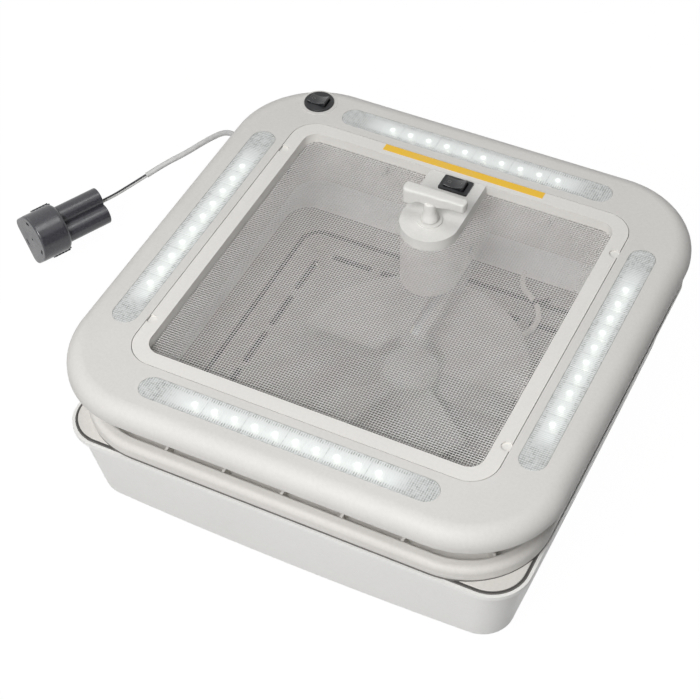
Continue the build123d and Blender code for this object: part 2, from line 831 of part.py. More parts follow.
def gear_sector():
    """Toothed sector on the lift shaft; its teeth point at the worm at rest and above it."""
    step = 360 / gear_full_count
    angles = [step * (tooth - 1) for tooth in range(gear_made_count)]
    first = angles[0] - step / 3
    last = angles[-1] + step / 3
    disc = Pos(0, 0, -gear_width / 2) * Cylinder(gear_root_radius, gear_width,
                                                 align=(Align.CENTER, Align.CENTER, Align.MIN))
    corners = [(0, 0)] + [(2 * gear_outer_radius * cos(radians(a)),
                           2 * gear_outer_radius * sin(radians(a)))
                          for a in (first, (2 * first + last) / 3, (first + 2 * last) / 3, last)]
    wedge = extrude(make_face(Polyline(*corners, close=True)), gear_width, both=True)
    sector = (disc & wedge) + [sector_tooth(angle) for angle in angles]
    sector += Cylinder(gear_hub_radius, gear_width)
    sector -= Cylinder(lift_shaft_radius + seat_gap, 2 * gear_width)
    turned = Plane(origin=(0, lift_y, lift_z), x_dir=(0, -1, 0), z_dir=(-1, 0, 0))
    return turned * sector


def lift_shaft():
    """Cross shaft of the lift arm, held in the housing's cheeks."""
    reach = housing_half - slip_gap
    return cross_rod(lift_shaft_radius, -reach, reach, lift_y, lift_z)


def lift_bushes():
    """Two plain bushes that keep the shaft's parts apart from the cheeks."""
    inner = housing_half - housing_wall
    bushes = []
    for side in (-1, 1):
        near = side * (inner - slip_gap)
        far = side * (inner - slip_gap - bush_thickness)
        x0, x1 = min(near, far), max(near, far)
        bushes.append(cross_rod(lift_shaft_radius + bush_thickness, x0, x1, lift_y, lift_z)
                      - cross_rod(lift_shaft_radius + seat_gap, x0 - overrun, x1 + overrun, lift_y,
                                  lift_z))
    return bushes


def lift_arm():
    """Bent lever: down from the shaft, then level along the track to the glide."""
    x0 = arm_side
    x1 = arm_side + arm_thickness
    half_neck = arm_neck_width / 2
    half_leg = arm_leg_height / 2
    arm = cross_rod(arm_hub_radius, x0, x1, lift_y, lift_z)
    arm += bar(x0, x1, lift_y - half_neck, lift_y + half_neck, glide_z - half_leg, lift_z)
    arm += bar(x0, x1, glide_y, lift_y + half_neck - overrun, glide_z - half_leg, glide_z + half_leg)
    arm += cross_rod(half_leg, x0, x1, glide_y, glide_z)
    arm -= cross_rod(lift_shaft_radius + seat_gap, x0 - overrun, x1 + overrun, lift_y, lift_z)
    arm -= cross_rod(half_leg / 2 + seat_gap, x0 - overrun, x1 + overrun, glide_y, glide_z)
    return arm


def arm_glide():
    """Nylon glide at the arm's end: a thin spindle with a round shoe on each side."""
    half = glide_length / 2
    glide = cross_rod(arm_leg_height / 4, arm_x - half, arm_x + half, glide_y, glide_z)
    for side in (-1, 1):
        inner = arm_x + side * (arm_thickness / 2 + seat_gap)
        outer = arm_x + side * half
        glide += cross_rod(glide_radius, min(inner, outer), max(inner, outer), glide_y, glide_z)
    return glide


def crank_shaft():
    """Upright spindle of the crank."""
    return rod(crank_shaft_radius, crank_shaft_low, crank_shaft_top, 0, crank_y)


def worm():
    """Worm with a helical thread that turns the sector one tooth a turn."""
    half_length = worm_turn_count * tooth_pitch / 2 + worm_thread_root / 2 + worm_end_margin
    core = Cylinder(worm_core_radius, 2 * half_length)
    start_angle = 90 - 180 * (1 + worm_turn_count)
    path = Helix(tooth_pitch, worm_turn_count * tooth_pitch, worm_pitch_radius)
    half_root = worm_thread_root / 2
    half_tip = worm_thread_tip / 2
    inner = worm_core_radius - merge_depth
    outline = Polyline((inner, -half_root), (worm_outer_radius, -half_tip),
                       (worm_outer_radius, half_tip),
                       (inner, half_root), close=True)
    profile = Plane.XZ * make_face(outline)
    thread = sweep(profile, path=path, is_frenet=True)
    thread = Rot(0, 0, start_angle) * Pos(0, 0, -worm_turn_count * tooth_pitch / 2) * thread
    body = core + thread
    body -= Cylinder(crank_shaft_radius + seat_gap, 4 * half_length)
    return Pos(0, crank_y, lift_z) * body


def crank_knob():
    """T-shaped knob on a tapered stem."""
    low = trim_top + crank_collar_height + knob_lift
    stem = Pos(0, crank_y, (low + knob_bar_low) / 2) * Cone(knob_stem_low_radius, knob_stem_high_radius,
                                                            knob_bar_low - low)
    stem += rod(knob_stem_high_radius, knob_bar_low - merge_depth, knob_bar_top - knob_bar_round, 0,
                crank_y)
    height = knob_bar_top - knob_bar_low
    handle = Pos(knob_bar_shift, crank_y, knob_bar_low + height / 2) * Box(knob_bar_length,
        knob_bar_width, height)
    handle = fillet(handle.edges().filter_by(Axis.Z), knob_bar_width / 2 - merge_depth)
    handle = fillet(handle.edges().group_by(Axis.Z)[-1], knob_bar_round)
    knob = stem + handle
    return knob - rod(crank_shaft_radius + seat_gap, low - overrun, crank_shaft_top, 0, crank_y)


def tongue_plan(half, y_end):
    """Outline of the operator: straight along Y, with a half round about the crank."""
    straight = Pos(0, (crank_y + y_end) / 2) * Rectangle(2 * half, y_end - crank_y)
    return straight + Pos(0, crank_y) * Circle(half)


def tongue(half, y_end, low, high):
    """U-shaped block: a straight part along Y that ends in a half round about the crank."""
    straight = bar(-half, half, crank_y, y_end, low, high)
    return straight + rod(half, low, high, 0, crank_y)


def operator_housing():
    """Gear housing under the cover, open below the gears and closed under the worm."""
    back = neck_half - neck_wall
    shallow_top = neck_top - ledge_thickness - slip_gap
    ledge_edge = ledge_half - slip_gap
    inner_half = housing_half - housing_wall
    outer = tongue(housing_half, ledge_edge, housing_low, housing_top) + tongue(housing_half, back,
        housing_low, shallow_top)
    inner = tongue(inner_half, ledge_edge - housing_wall, housing_low - overrun, housing_top + overrun)
    inner += tongue(inner_half, back - housing_wall, housing_low - overrun, shallow_top - housing_wall)
    floor = rod(inner_half + merge_depth, housing_low, housing_low + housing_floor, 0, crank_y)
    floor &= bar(-housing_half, housing_half, crank_y - housing_half, crank_y + housing_floor_reach,
                 housing_low, housing_low + housing_floor)
    housing = outer - inner + floor
    housing -= rod(crank_shaft_radius + running_gap, housing_low - overrun, housing_top, 0, crank_y)
    housing -= cross_rod(lift_shaft_radius + running_gap, -housing_half - overrun,
                         housing_half + overrun, lift_y, lift_z)
    for x in (-housing_screw_x, housing_screw_x):
        housing -= Pos(x, back, housing_screw_z) * Rot(90, 0, 0) * Cylinder(
            housing_screw_radius + running_gap, 2 * (housing_wall + overrun))
    return housing


def housing_screws():
    """Two screws through the housing's back into the neck."""
    seat = neck_half - neck_wall - housing_wall
    head_middle = seat - housing_screw_head_height / 2
    shank = housing_wall + neck_wall
    pieces = []
    for x in (-housing_screw_x, housing_screw_x):
        head = Pos(x, head_middle, housing_screw_z) * Rot(90, 0,
            0) * Cylinder(housing_screw_head_radius, housing_screw_head_height)
        pin = Pos(x, seat + shank / 2, housing_screw_z) * Rot(90, 0, 0) * Cylinder(housing_screw_radius,
            shank)
        pieces.append(head + pin)
    return pieces


def operator_cover():
    """Tongue-shaped cover with the crank's collar and the fan switch's opening."""
    y_end = screen_window_half - slip_gap
    cover = tongue(cover_half, y_end, housing_top, trim_top)
    cover -= tongue(cover_half - cover_wall, y_end - cover_wall, housing_top - overrun,
                    trim_top - cover_plate)
    cover += rod(crank_collar_radius, trim_top - merge_depth, trim_top + crank_collar_height, 0,
                 crank_y)
    cover -= rod(crank_shaft_radius + running_gap, housing_top,
                 trim_top + crank_collar_height + overrun, 0, crank_y)
    cover -= bar(fan_switch_x - fan_body_length / 2 - bar_gap,
                 fan_switch_x + fan_body_length / 2 + bar_gap,
                 fan_switch_y - fan_body_width / 2 - bar_gap, fan_switch_y + fan_body_width / 2 + bar_gap,
                 trim_top - cover_plate - overrun, trim_top + overrun)
    return cover


def rocker(length, width, x, y, seat):
    """Rocker with two slopes that meet in a shallow valley, tipped to its off side; length runs along X."""
    top = seat + rocker_proud
    low = seat - rocker_depth
    valley = seat + rocker_proud / 3
    outline = Polyline((-length / 2, low + rocker_depth / 2), (-length / 2, top), (0, valley),
                       (length / 2, top),
                       (length / 2, low + rocker_depth / 2), (0, low), close=True)
    body = extrude(Plane.XZ * make_face(outline), width / 2, both=True)
    pivot = Pos(0, 0, seat - rocker_pivot_drop)
    body -= pivot * Rot(90, 0, 0) * Cylinder(rocker_pin_radius + running_gap, 2 * width)
    tipped = pivot * Rot(0, -switch_tilt_angle, 0) * Pos(0, 0, rocker_pivot_drop - seat) * body
    return Pos(x, y, 0) * tipped


def switch_hollow(length, width, x, y, seat):
    """Room that a rocker needs to tip in its switch body."""
    half_x = length / 2 + rocker_gap
    half_y = width / 2 + rocker_gap / 2
    return bar(x - half_x, x + half_x, y - half_y, y + half_y,
               seat - rocker_depth - rocker_gap - overrun,
               seat + rocker_proud + overrun)


def switch_pin(width, x, y, seat):
    """Pivot pin of a rocker, across its switch body."""
    reach = width / 2 + rocker_gap / 2 + merge_depth
    return Pos(x, y, seat - rocker_pivot_drop) * Rot(90, 0, 0) * Cylinder(rocker_pin_radius, 2 * reach)


def fan_switch_body():
    """Switch body with its bezel on the cover."""
    seat = trim_top + switch_bezel_height
    body = block(fan_bezel_length / 2, fan_bezel_width / 2, switch_wall, trim_top, seat, fan_switch_x,
                 fan_switch_y)
    body += block(fan_body_length / 2, fan_body_width / 2, switch_wall / 2, trim_top - switch_depth,
                  trim_top + merge_depth,
                  fan_switch_x, fan_switch_y)
    body -= switch_hollow(fan_rocker_length, fan_rocker_width, fan_switch_x, fan_switch_y, seat)
    return body + switch_pin(fan_rocker_width, fan_switch_x, fan_switch_y, seat)


def light_switch_body():
    """Round switch body with its bezel on the trim's boss."""
    low_seat = trim_top + light_boss_height
    seat = low_seat + switch_bezel_height
    body = rod(light_bezel_radius, low_seat, seat, light_switch_x, light_switch_y)
    body = fillet(body.edges().group_by(Axis.Z)[-1], switch_bezel_height / 2)
    body += rod(light_body_radius, trim_top - switch_depth + overrun, low_seat + merge_depth,
                light_switch_x, light_switch_y)
    body -= switch_hollow(light_rocker_length, light_rocker_width, light_switch_x, light_switch_y, seat)
    return body + switch_pin(light_rocker_width, light_switch_x, light_switch_y, seat)


def lens():
    """Clear bar with half-round ends and a short rim below its top."""
    outer = extrude(SlotOverall(bar_length, bar_width), lens_depth)
    inner = extrude(SlotOverall(bar_length - 2 * lens_wall, bar_width - 2 * lens_wall),
                    lens_depth - lens_thickness)
    return Pos(0, -bar_offset, trim_top - lens_depth) * (outer - inner)


def led_board():
    """Narrow circuit board on the pocket's floor."""
    length = bar_length - 2 * board_end_gap
    return Pos(0, -bar_offset, board_low + board_thickness / 2) * Box(length, board_width,
        board_thickness)


def led_diodes():
    """Ten light-emitting diodes on the board of one bar."""
    middle = board_low + board_thickness + diode_height / 2
    return [Pos(x, -bar_offset, middle) * Box(diode_side, diode_side,
                                              diode_height) for x in steps(diode_count, diode_pitch)]


def screen_frame():
    """Frame of the fly screen: a flush border with an inner and an outer wall below."""
    frame = block(screen_half, screen_half, screen_corner, screen_low, trim_top)
    hollow_half = screen_half - screen_wall
    frame -= block(hollow_half, hollow_half, screen_corner - screen_wall, screen_low - overrun,
                   trim_top - screen_plate)
    wall_half = screen_window_half + screen_wall
    frame += block(wall_half, wall_half, screen_window_corner + screen_wall, net_low,
                   trim_top - merge_depth)
    frame -= block(screen_window_half, screen_window_half, screen_window_corner, screen_low - overrun,
                   trim_top + overrun)
    notch = rod(screen_notch_radius, trim_top - screen_notch_depth, trim_top + overrun)
    for x in (-screen_notch_offset, screen_notch_offset):
        for y in (-screen_notch_place, screen_notch_place):
            frame -= Pos(x, y, 0) * notch
    return frame


def fly_screen():
    """Net as one holed face with a coarse grid of gaps, cut out round the operator cover."""
    half = screen_window_half + screen_wall
    sheet = Rectangle(2 * half, 2 * half)
    pitch = 2 * screen_window_half / net_gap_count
    side = pitch - net_bar
    reach = cover_half + slip_gap
    border = tongue_plan(reach + net_bar, half + overrun)
    gaps = []
    for x in steps(net_gap_count, pitch):
        for y in steps(net_gap_count, pitch):
            gap = Pos(x, y) * Rectangle(side, side)
            if abs(x) < reach + pitch and y > crank_y - reach - pitch:
                gap -= border
            gaps += [face for face in gap.faces() if face.area > net_bar * net_bar]
    sheet -= gaps
    sheet -= tongue_plan(reach, half + overrun)
    return Pos(0, 0, net_low - net_thickness) * extrude(sheet, net_thickness)


def screen_clips():
    """Four spring clips under the screen frame's border."""
    y = screen_half - screen_wall - clip_foot / 2 - slip_gap
    top = trim_top - screen_plate
    clips = []
    for x in (-clip_place, clip_place):
        for side in (-1, 1):
            foot = bar(x - clip_length / 2, x + clip_length / 2, side * y - clip_foot / 2,
                       side * y + clip_foot / 2,
                       top - clip_thickness, top)
            y_leaf = side * (y + clip_foot / 2 - clip_thickness / 2)
            leaf = bar(x - clip_length / 2, x + clip_length / 2, y_leaf - clip_thickness / 2,
                       y_leaf + clip_thickness / 2,
                       top - clip_height, top)
            clips.append(foot + leaf)
    return clips


def label_strip():
    """Thin blank strip on the screen frame's border."""
    low = trim_top
    return bar(-label_length / 2, label_length / 2, label_offset - label_width / 2,
               label_offset + label_width / 2,
               low, low + label_thickness)


def corner_radii(points, name):
    """Radius of the arc at each inner point of a route, printed for the reader."""
    radii = []
    for before, here, after in zip(points, points[1:], points[2:]):
        run_in = Vector(*here) - Vector(*before)
        run_out = Vector(*after) - Vector(*here)
        turn = radians(run_in.get_angle(run_out))
        radii.append(arc_share * min(run_in.length, run_out.length) / tan(turn / 2))
    print(name, "radii", [round(radius, 1) for radius in radii])
    return radii


def tube(points, radius, name):
    """Tube along straight runs that are joined by tangent arcs."""
    path = FilletPolyline(*points, radius=corner_radii(points, name))
    start = Vector(*points[1]) - Vector(*points[0])
    section = Plane(origin=points[0], z_dir=start) * Circle(radius)
    solid = sweep(section, path=path)
    expected = pi * radius ** 2 * path.length
    print(name, "length", round(path.length, 1), "volume share", round(solid.volume / expected, 4))
    return solid


def fan_lead():
    """Lead of the fan motor, from the lid's side wall to the motor along the liner."""
    return tube(fan_lead_route, fan_lead_radius, "fan_lead")


def lead_tie():
    """Tie round the fan lead, with its cut-off tail."""
    start = Vector(*fan_lead_route[2])
    end = Vector(*fan_lead_route[3])
    along = end - start
    place = start + along * 0.5
    plane = Plane(origin=place, z_dir=along)
    band = plane * (Cylinder(tie_radius, tie_length) - Cylinder(fan_lead_radius + slip_gap,
        2 * tie_length))
    tail = plane * Pos(tie_radius + tie_tail / 2 - merge_depth, 0, 0) * Box(tie_tail, tie_thickness,
        tie_length)
    return band + tail


def power_lead():
    """Sheathed lead from the gland to where its two cores come out."""
    return tube(lead_route, lead_radius, "power_lead")


def lead_cores():
    """The two thin cores between the sheath's end and the battery pack."""
    along = Vector(*core_route[-1]) - Vector(*core_route[-2])
    side = along.cross(Vector(0, 0, 1)).normalized() * core_spacing
    cores = []
    for sign in (-1, 1):
        points = [tuple(Vector(*point) + side * sign) for point in core_route]
        cores.append(tube(points, core_radius, "lead_core"))
    return cores


def cord_gland():
    """Rubber gland in the neck's wall where the battery lead leaves."""
    outer = -neck_half
    flange = cross_rod(gland_flange_radius, outer - gland_flange_length, outer, gland_y, gland_z)
    body = cross_rod(gland_body_radius - seat_gap, outer - merge_depth, outer + neck_wall + overrun,
                     gland_y, gland_z)
    return flange + body


def pack_frame():
    """Place of the battery pack: Z runs along it from its outer end to the contact stem."""
    heading = radians(pack_heading_angle)
    along = Vector(cos(heading), sin(heading), 0)
    across = Vector(sin(heading), -cos(heading), 0)
    roll = radians(pack_roll_angle)
    x_dir = across * cos(roll) + Vector(0, 0, 1) * sin(roll)
    return Plane(origin=(pack_x, pack_y, pack_z), x_dir=x_dir, z_dir=along)


def pack_base_plan():
    """D-shaped outline: a half round towards +X and a flat with rounded corners towards -X."""
    straight = pack_base_depth - pack_base_radius
    left = Pos(-straight / 2, 0) * Rectangle(straight, 2 * pack_base_radius)
    left = fillet(left.vertices().group_by(Axis.X)[0], pack_base_corner)
    return left + Circle(pack_base_radius)


def pack_stem_plan(radius):
    """Outline of three cells side by side, as a rounded trefoil."""
    ring_radius = cell_radius / cos(radians(30))
    plan = Circle(ring_radius)
    for turn in range(3):
        angle = radians(120 * turn + 60)
        plan += Pos(ring_radius * cos(angle), ring_radius * sin(angle)) * Circle(radius)
    return plan


def battery_base():
    """Wide end of the pack, with shallow slots in its face and two latch windows."""
    base = extrude(pack_base_plan(), pack_base_length)
    base = fillet(base.edges().group_by(Axis.Z)[0], pack_edge_round)
    base = fillet(base.edges().group_by(Axis.Z)[-1], pack_shoulder)
    slot = Box(pack_slot_length, pack_slot_width, 2 * pack_slot_depth)
    for turn in range(3):
        base -= Rot(0, 0, 120 * turn + 60) * Pos(pack_slot_ring, 0, 0) * Rot(0, 0, 90) * slot
    base -= Cylinder(pack_slot_width / 2, 2 * pack_slot_depth)
    for side in (-1, 1):
        base -= latch_window(side)
    return pack_frame() * base


def latch_window(side):
    """Recess in the base's side in which a latch slides."""
    depth = latch_thickness + latch_travel + slip_gap
    y = side * (pack_base_radius - depth / 2 + overrun / 2)
    length = latch_length + 2 * latch_rail_gap
    height = latch_height + 2 * latch_rail_gap
    return Pos(-latch_height / 2, y, pack_base_length - length / 2 + overrun / 2) * Box(height,
        depth + overrun, length + overrun)


def battery_latch(side):
    """Ribbed side latch of the pack."""
    y = side * (pack_base_radius - latch_thickness / 2)
    z_low = pack_base_length - latch_length
    latch = Pos(-latch_height / 2, y, z_low + latch_length / 2) * Box(latch_height, latch_thickness,
        latch_length)
    rib_step = (latch_length - latch_rib_width) / latch_rib_count
    for place in steps(latch_rib_count, rib_step):
        rib_y = side * (pack_base_radius + latch_rib_height / 2 - merge_depth / 2)
        latch += Pos(-latch_height / 2, rib_y, z_low + latch_length / 2 + place) * Box(
            latch_height, latch_rib_height + merge_depth, latch_rib_width)
    return pack_frame() * latch


def battery_stem():
    """Trefoil stem that plugs into a socket, hollow for the cells."""
    shell = extrude(pack_stem_plan(cell_radius + pack_stem_wall), pack_stem_length)
    shell = fillet(shell.edges().group_by(Axis.Z)[-1], pack_edge_round / 2)
    shell -= Pos(0, 0, -overrun) * extrude(pack_stem_plan(cell_radius + slip_gap),
                                           pack_stem_length - pack_stem_wall + overrun)
    return pack_frame() * Pos(0, 0, pack_base_length) * shell


def battery_cells():
    """Three round cells inside the stem."""
    ring_radius = cell_radius / cos(radians(30))
    length = pack_stem_length - pack_stem_wall - 2 * slip_gap
    cells = []
    for turn in range(3):
        angle = radians(120 * turn + 60)
        cell = Pos(ring_radius * cos(angle), ring_radius * sin(angle),
                   pack_base_length + slip_gap + length / 2)
        cells.append(pack_frame() * cell * Cylinder(cell_radius - seat_gap, length))
    return cells


def battery_contacts():
    """Two contact strips on the stem's end."""
    end = pack_base_length + pack_stem_length
    return [pack_frame() * Pos(0, side * contact_spread, end + contact_thickness / 2) * Box(
        contact_length, contact_width, contact_thickness) for side in (-1, 1)]


def as_compound(pieces):
    """One compound of solids from a solid or a list of them."""
    if isinstance(pieces, (list, tuple)):
        solids = [solid for piece in pieces for solid in piece.solids()]
    else:
        solids = pieces.solids()
    if len(solids) == 1:
        return solids[0]
    return Compound(children=list(solids))


def build_nodes():
    """Every sub-part by the name of its node."""
    nodes = {
        "base_frame": base_frame(),
        "inner_trim": inner_trim(),
        "screen_frame": screen_frame(),
        "fly_screen": fly_screen(),
        "screen_clips": screen_clips(),
        "label_strip": label_strip(),
        "trim_screws": screws(trim_screw_places(), trim_screw_head_radius, trim_screw_head_height,
                              boss_hole_radius - seat_gap, trim_screw_length, lip_top),
        "lid_shell": lid_shell(),
        "lid_liner": lid_liner(),
        "lid_seal": lid_seal(),
        "liner_screws": screws(liner_screw_places(), liner_screw_head_radius, liner_screw_head_height,
                               liner_post_hole - seat_gap, liner_screw_length, liner_top),
        "hinge_pins": hinge_pins(),
        "operator_housing": operator_housing(),
        "operator_cover": operator_cover(),
        "housing_screws": housing_screws(),
        "crank_knob": crank_knob(),
        "crank_shaft": crank_shaft(),
        "worm": worm(),
        "gear_sector": gear_sector(),
        "lift_shaft": lift_shaft(),
        "lift_bushes": lift_bushes(),
        "lift_arm": lift_arm(),
        "arm_glide": arm_glide(),
        "slide_track": slide_track(),
        "fan_cowl": fan_cowl(),
        "track_screws": screws(track_screw_places(), track_screw_head_radius, track_screw_head_height,
                               track_screw_radius,
                               track_screw_length, cowl_top + foot_flange_thickness),
        "fan_motor": fan_motor(),
        "fan_shaft": fan_shaft(),
        "fan_impeller": fan_impeller(),
        "hub_cap": hub_cap(),
        "hub_screws": hub_screws(),
        "fan_lead": fan_lead(),
        "lead_tie": lead_tie(),
        "fan_switch_body": fan_switch_body(),
        "fan_rocker": rocker(fan_rocker_length, fan_rocker_width, fan_switch_x, fan_switch_y,
                             trim_top + switch_bezel_height),
        "light_switch_body": light_switch_body(),
        "light_rocker": rocker(light_rocker_length, light_rocker_width, light_switch_x, light_switch_y,
                               trim_top + light_boss_height + switch_bezel_height),
        "cord_gland": cord_gland(),
        "power_lead": power_lead(),
        "lead_cores": lead_cores(),
        "battery_base": battery_base(),
        "battery_stem": battery_stem(),
        "battery_cells": battery_cells(),
        "battery_contacts": battery_contacts(),
        "battery_latch_left": battery_latch(-1),
        "battery_latch_right": battery_latch(1),
    }
    sides = ("front", "right", "back", "left")
    for name, piece in (("led_lens", lens()), ("led_board", led_board())):
        for side, placed in zip(sides, four_sides(piece)):
            nodes[name + "_" + side] = placed
    nodes["led_diodes"] = [placed for diode in led_diodes() for placed in four_sides(diode)]
    return nodes


os.makedirs("parts", exist_ok=True)
for node_name, shape in build_nodes().items():
    export_step(as_compound(shape), "parts/" + node_name + ".step")
    print(node_name)
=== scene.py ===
"""Looks of the caravan roof vent: net, light bars, switches, crank, leads, and every finish.

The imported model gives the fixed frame, in metres: +Z towards the room side, X along the lid's
hinge, +Y towards the hinge and the crank, and the lid's outer face on z = 0.
"""

import json
import logging
from dataclasses import dataclass, field
from enum import Enum
from typing import Callable, Sequence

import bpy
import numpy as np
from mathutils import Matrix, Vector

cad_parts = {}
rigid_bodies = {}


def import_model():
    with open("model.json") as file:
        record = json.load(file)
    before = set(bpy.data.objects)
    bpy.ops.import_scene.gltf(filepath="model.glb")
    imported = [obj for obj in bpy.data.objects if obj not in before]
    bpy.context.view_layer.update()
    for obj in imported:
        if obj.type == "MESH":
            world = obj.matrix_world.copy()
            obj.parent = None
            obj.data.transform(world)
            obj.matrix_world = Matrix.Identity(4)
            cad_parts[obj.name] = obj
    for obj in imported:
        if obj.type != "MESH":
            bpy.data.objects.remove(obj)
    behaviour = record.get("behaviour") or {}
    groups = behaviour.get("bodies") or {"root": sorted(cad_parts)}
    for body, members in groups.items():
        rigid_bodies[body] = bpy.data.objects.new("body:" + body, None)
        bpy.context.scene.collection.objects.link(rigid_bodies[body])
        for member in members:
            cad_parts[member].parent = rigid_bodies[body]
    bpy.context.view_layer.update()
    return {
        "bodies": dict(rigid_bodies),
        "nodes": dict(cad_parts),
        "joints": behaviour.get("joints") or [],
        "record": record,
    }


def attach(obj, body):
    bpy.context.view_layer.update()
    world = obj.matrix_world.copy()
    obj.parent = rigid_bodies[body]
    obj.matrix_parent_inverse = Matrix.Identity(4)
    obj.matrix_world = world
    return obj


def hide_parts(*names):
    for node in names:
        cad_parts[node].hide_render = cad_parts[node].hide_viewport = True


LOG = logging.getLogger("roof_vent")

Array = np.ndarray
Colour = tuple[float, float, float]
Point = tuple[float, float, float]
Route = tuple[Point, ...]
Pair = tuple[float, float]
Profile = tuple[Pair, ...]
Piece = bpy.types.Object
Socket = bpy.types.NodeSocket

WHITE = (1.0, 1.0, 1.0, 1.0)
INVERSE_E = 0.3679  # e to the minus one
BAR_OFFSET = 0.1507  # from the vent's middle to the middle line of a light bar
DIODE_PITCH = 0.01485  # from one diode of a bar to the next
CRANK_Y = 0.072  # where the crank's axis stands, with X = 0


class Side(Enum):
    """The four sides of the trim, as quarter turns from the side at -Y."""

    FRONT = 0
    RIGHT = 1
    BACK = 2
    LEFT = 3

    @property
    def label(self) -> str:
        """The side's name in the frame's node names."""
        return self.name.lower()

    def turned(self, points: Array) -> Array:
        """Points of the front side, brought to this side by quarter turns about Z.

        Args:
            points: Points of the front side, one per row.

        Returns:
            The turned points.
        """
        angle = np.pi / 2 * self.value
        c, s = np.round(np.cos(angle)), np.round(np.sin(angle))
        return points @ np.array([[c, s, 0.0], [-s, c, 0.0], [0.0, 0.0, 1.0]])


class Grain(Enum):
    """How a moulded surface is textured: share of fine sparkle and of broad waviness."""

    POLISHED = (0.15, 0.6)
    SATIN = (0.5, 0.5)
    LEATHERY = (1.0, 0.3)


# ---------------------------------------------------------------- meshes from arrays
def srgb(red: int, green: int, blue: int) -> Colour:
    """Linear colour of an sRGB byte triple.

    Args:
        red: Red from 0 to 255.
        green: Green from 0 to 255.
        blue: Blue from 0 to 255.

    Returns:
        Three linear values, by the usual curve of power 2.4 above its straight foot.
    """
    share = np.array([red, green, blue]) / 255.0
    linear = np.where(share <= 0.04045, share / 12.92, ((share + 0.055) / 1.055) ** 2.4)
    return tuple(float(v) for v in linear)


def smooth_step(share: Array) -> Array:
    """A share clipped to 0..1 and eased at both ends, as s^2 (3 - 2 s)."""
    share = np.clip(share, 0, 1)
    return share * share * (3 - 2 * share)


def grid_faces(rows: int, columns: int, close_rows: bool = False,
               close_columns: bool = False) -> Array:
    """Quads of a grid of rows x columns points, numbered row by row.

    Args:
        rows: Number of rows.
        columns: Number of columns.
        close_rows: Whether the last row joins the first.
        close_columns: Whether the last column joins the first.

    Returns:
        Point numbers, four for each quad.
    """
    row = np.arange(rows if close_rows else rows - 1)
    column = np.arange(columns if close_columns else columns - 1)
    r, c = np.meshgrid(row, column, indexing="ij")
    r1, c1 = (r + 1) % rows, (c + 1) % columns
    corners = [r * columns + c, r * columns + c1, r1 * columns + c1, r1 * columns + c]
    return np.stack(corners, axis=-1).reshape(-1, 4)


@dataclass
class Shape:
    """Points and faces that are gathered before they become one mesh."""

    points: list[Array] = field(default_factory=list)
    faces: list[tuple[int, ...]] = field(default_factory=list)
    count: int = 0

    def add(self, points: Array, faces: Array | Sequence[Sequence[int]]) -> "Shape":
        """Adds points with faces that are numbered from these points' first.

        Args:
            points: An array of points, one per row.
            faces: Point numbers, one row or sequence per face.

        Returns:
            The shape itself, so that calls can follow each other.
        """
        self.faces += [tuple(int(i) + self.count for i in face) for face in faces]
        self.points.append(np.asarray(points, float).reshape(-1, 3))
        self.count += len(self.points[-1])
        return self

    def add_box(self, low: Point, high: Point) -> "Shape":
        """Adds a box.

        Args:
            low: Its lowest corner.
            high: Its highest corner.

        Returns:
            The shape itself.
        """
        steps = np.array([[0, 0, 0], [1, 0, 0], [1, 1, 0], [0, 1, 0],
                          [0, 0, 1], [1, 0, 1], [1, 1, 1], [0, 1, 1]])
        quads = [(0, 3, 2, 1), (4, 5, 6, 7), (0, 1, 5, 4), (1, 2, 6, 5), (2, 3, 7, 6), (3, 0, 4, 7)]
        return self.add(np.array(low) + steps * (np.array(high) - np.array(low)), quads)

    def build(self, name: str, smooth: bool = True,
              move: Callable[[Array], Array] | None = None) -> Piece:
        """Makes the mesh object, in place, with its faces outwards.

        Args:
            name: The object's name.
            smooth: Whether faces shade smooth.
            move: Takes and returns all points, as a turn to another side does.

        Returns:
            The object, at the origin, with its place in its mesh.
        """
        points = np.concatenate(self.points)
        if move is not None:
            points = move(points)
        mesh = bpy.data.meshes.new(name)
        mesh.from_pydata(points.tolist(), [], self.faces)
        mesh.validate()
        mesh.update()
        mesh.polygons.foreach_set("use_smooth", np.full(len(mesh.polygons), smooth))
        return placed(name, mesh)


def placed(name: str, data: bpy.types.ID) -> Piece:
    """Puts new data in the scene.

    Args:
        name: The object's name.
        data: Its mesh, curve, light or camera.

    Returns:
        The object.
    """
    piece = bpy.data.objects.new(name, data)
    bpy.context.scene.collection.objects.link(piece)
    return piece


def revolve(profile: Array, segments: int, origin: Point,
            axis: Point = (0, 0, 1)) -> tuple[Array, Array]:
    """Surface of revolution: radius and height of each profile point, carried round the axis.

    A point is origin + radius x (cosine, sine of the turn) across + height along the axis.

    Args:
        profile: Rows of (radius, height), from the bottom up; end radii of zero close it.
        segments: Points round the axis.
        origin: Where height zero lies on the axis.
        axis: Direction of the axis.

    Returns:
        Points and quads.
    """
    z = Vector(axis).normalized()
    x = z.orthogonal().normalized()
    y = z.cross(x)
    turn = np.linspace(0, 2 * np.pi, segments, endpoint=False)
    ring = np.cos(turn)[:, None] * np.array(x) + np.sin(turn)[:, None] * np.array(y)
    radius, height = profile[:, 0][:, None, None], profile[:, 1][:, None, None]
    points = np.array(origin) + radius * ring[None] + height * np.array(z)
    return points.reshape(-1, 3), grid_faces(len(profile), segments, close_columns=True)


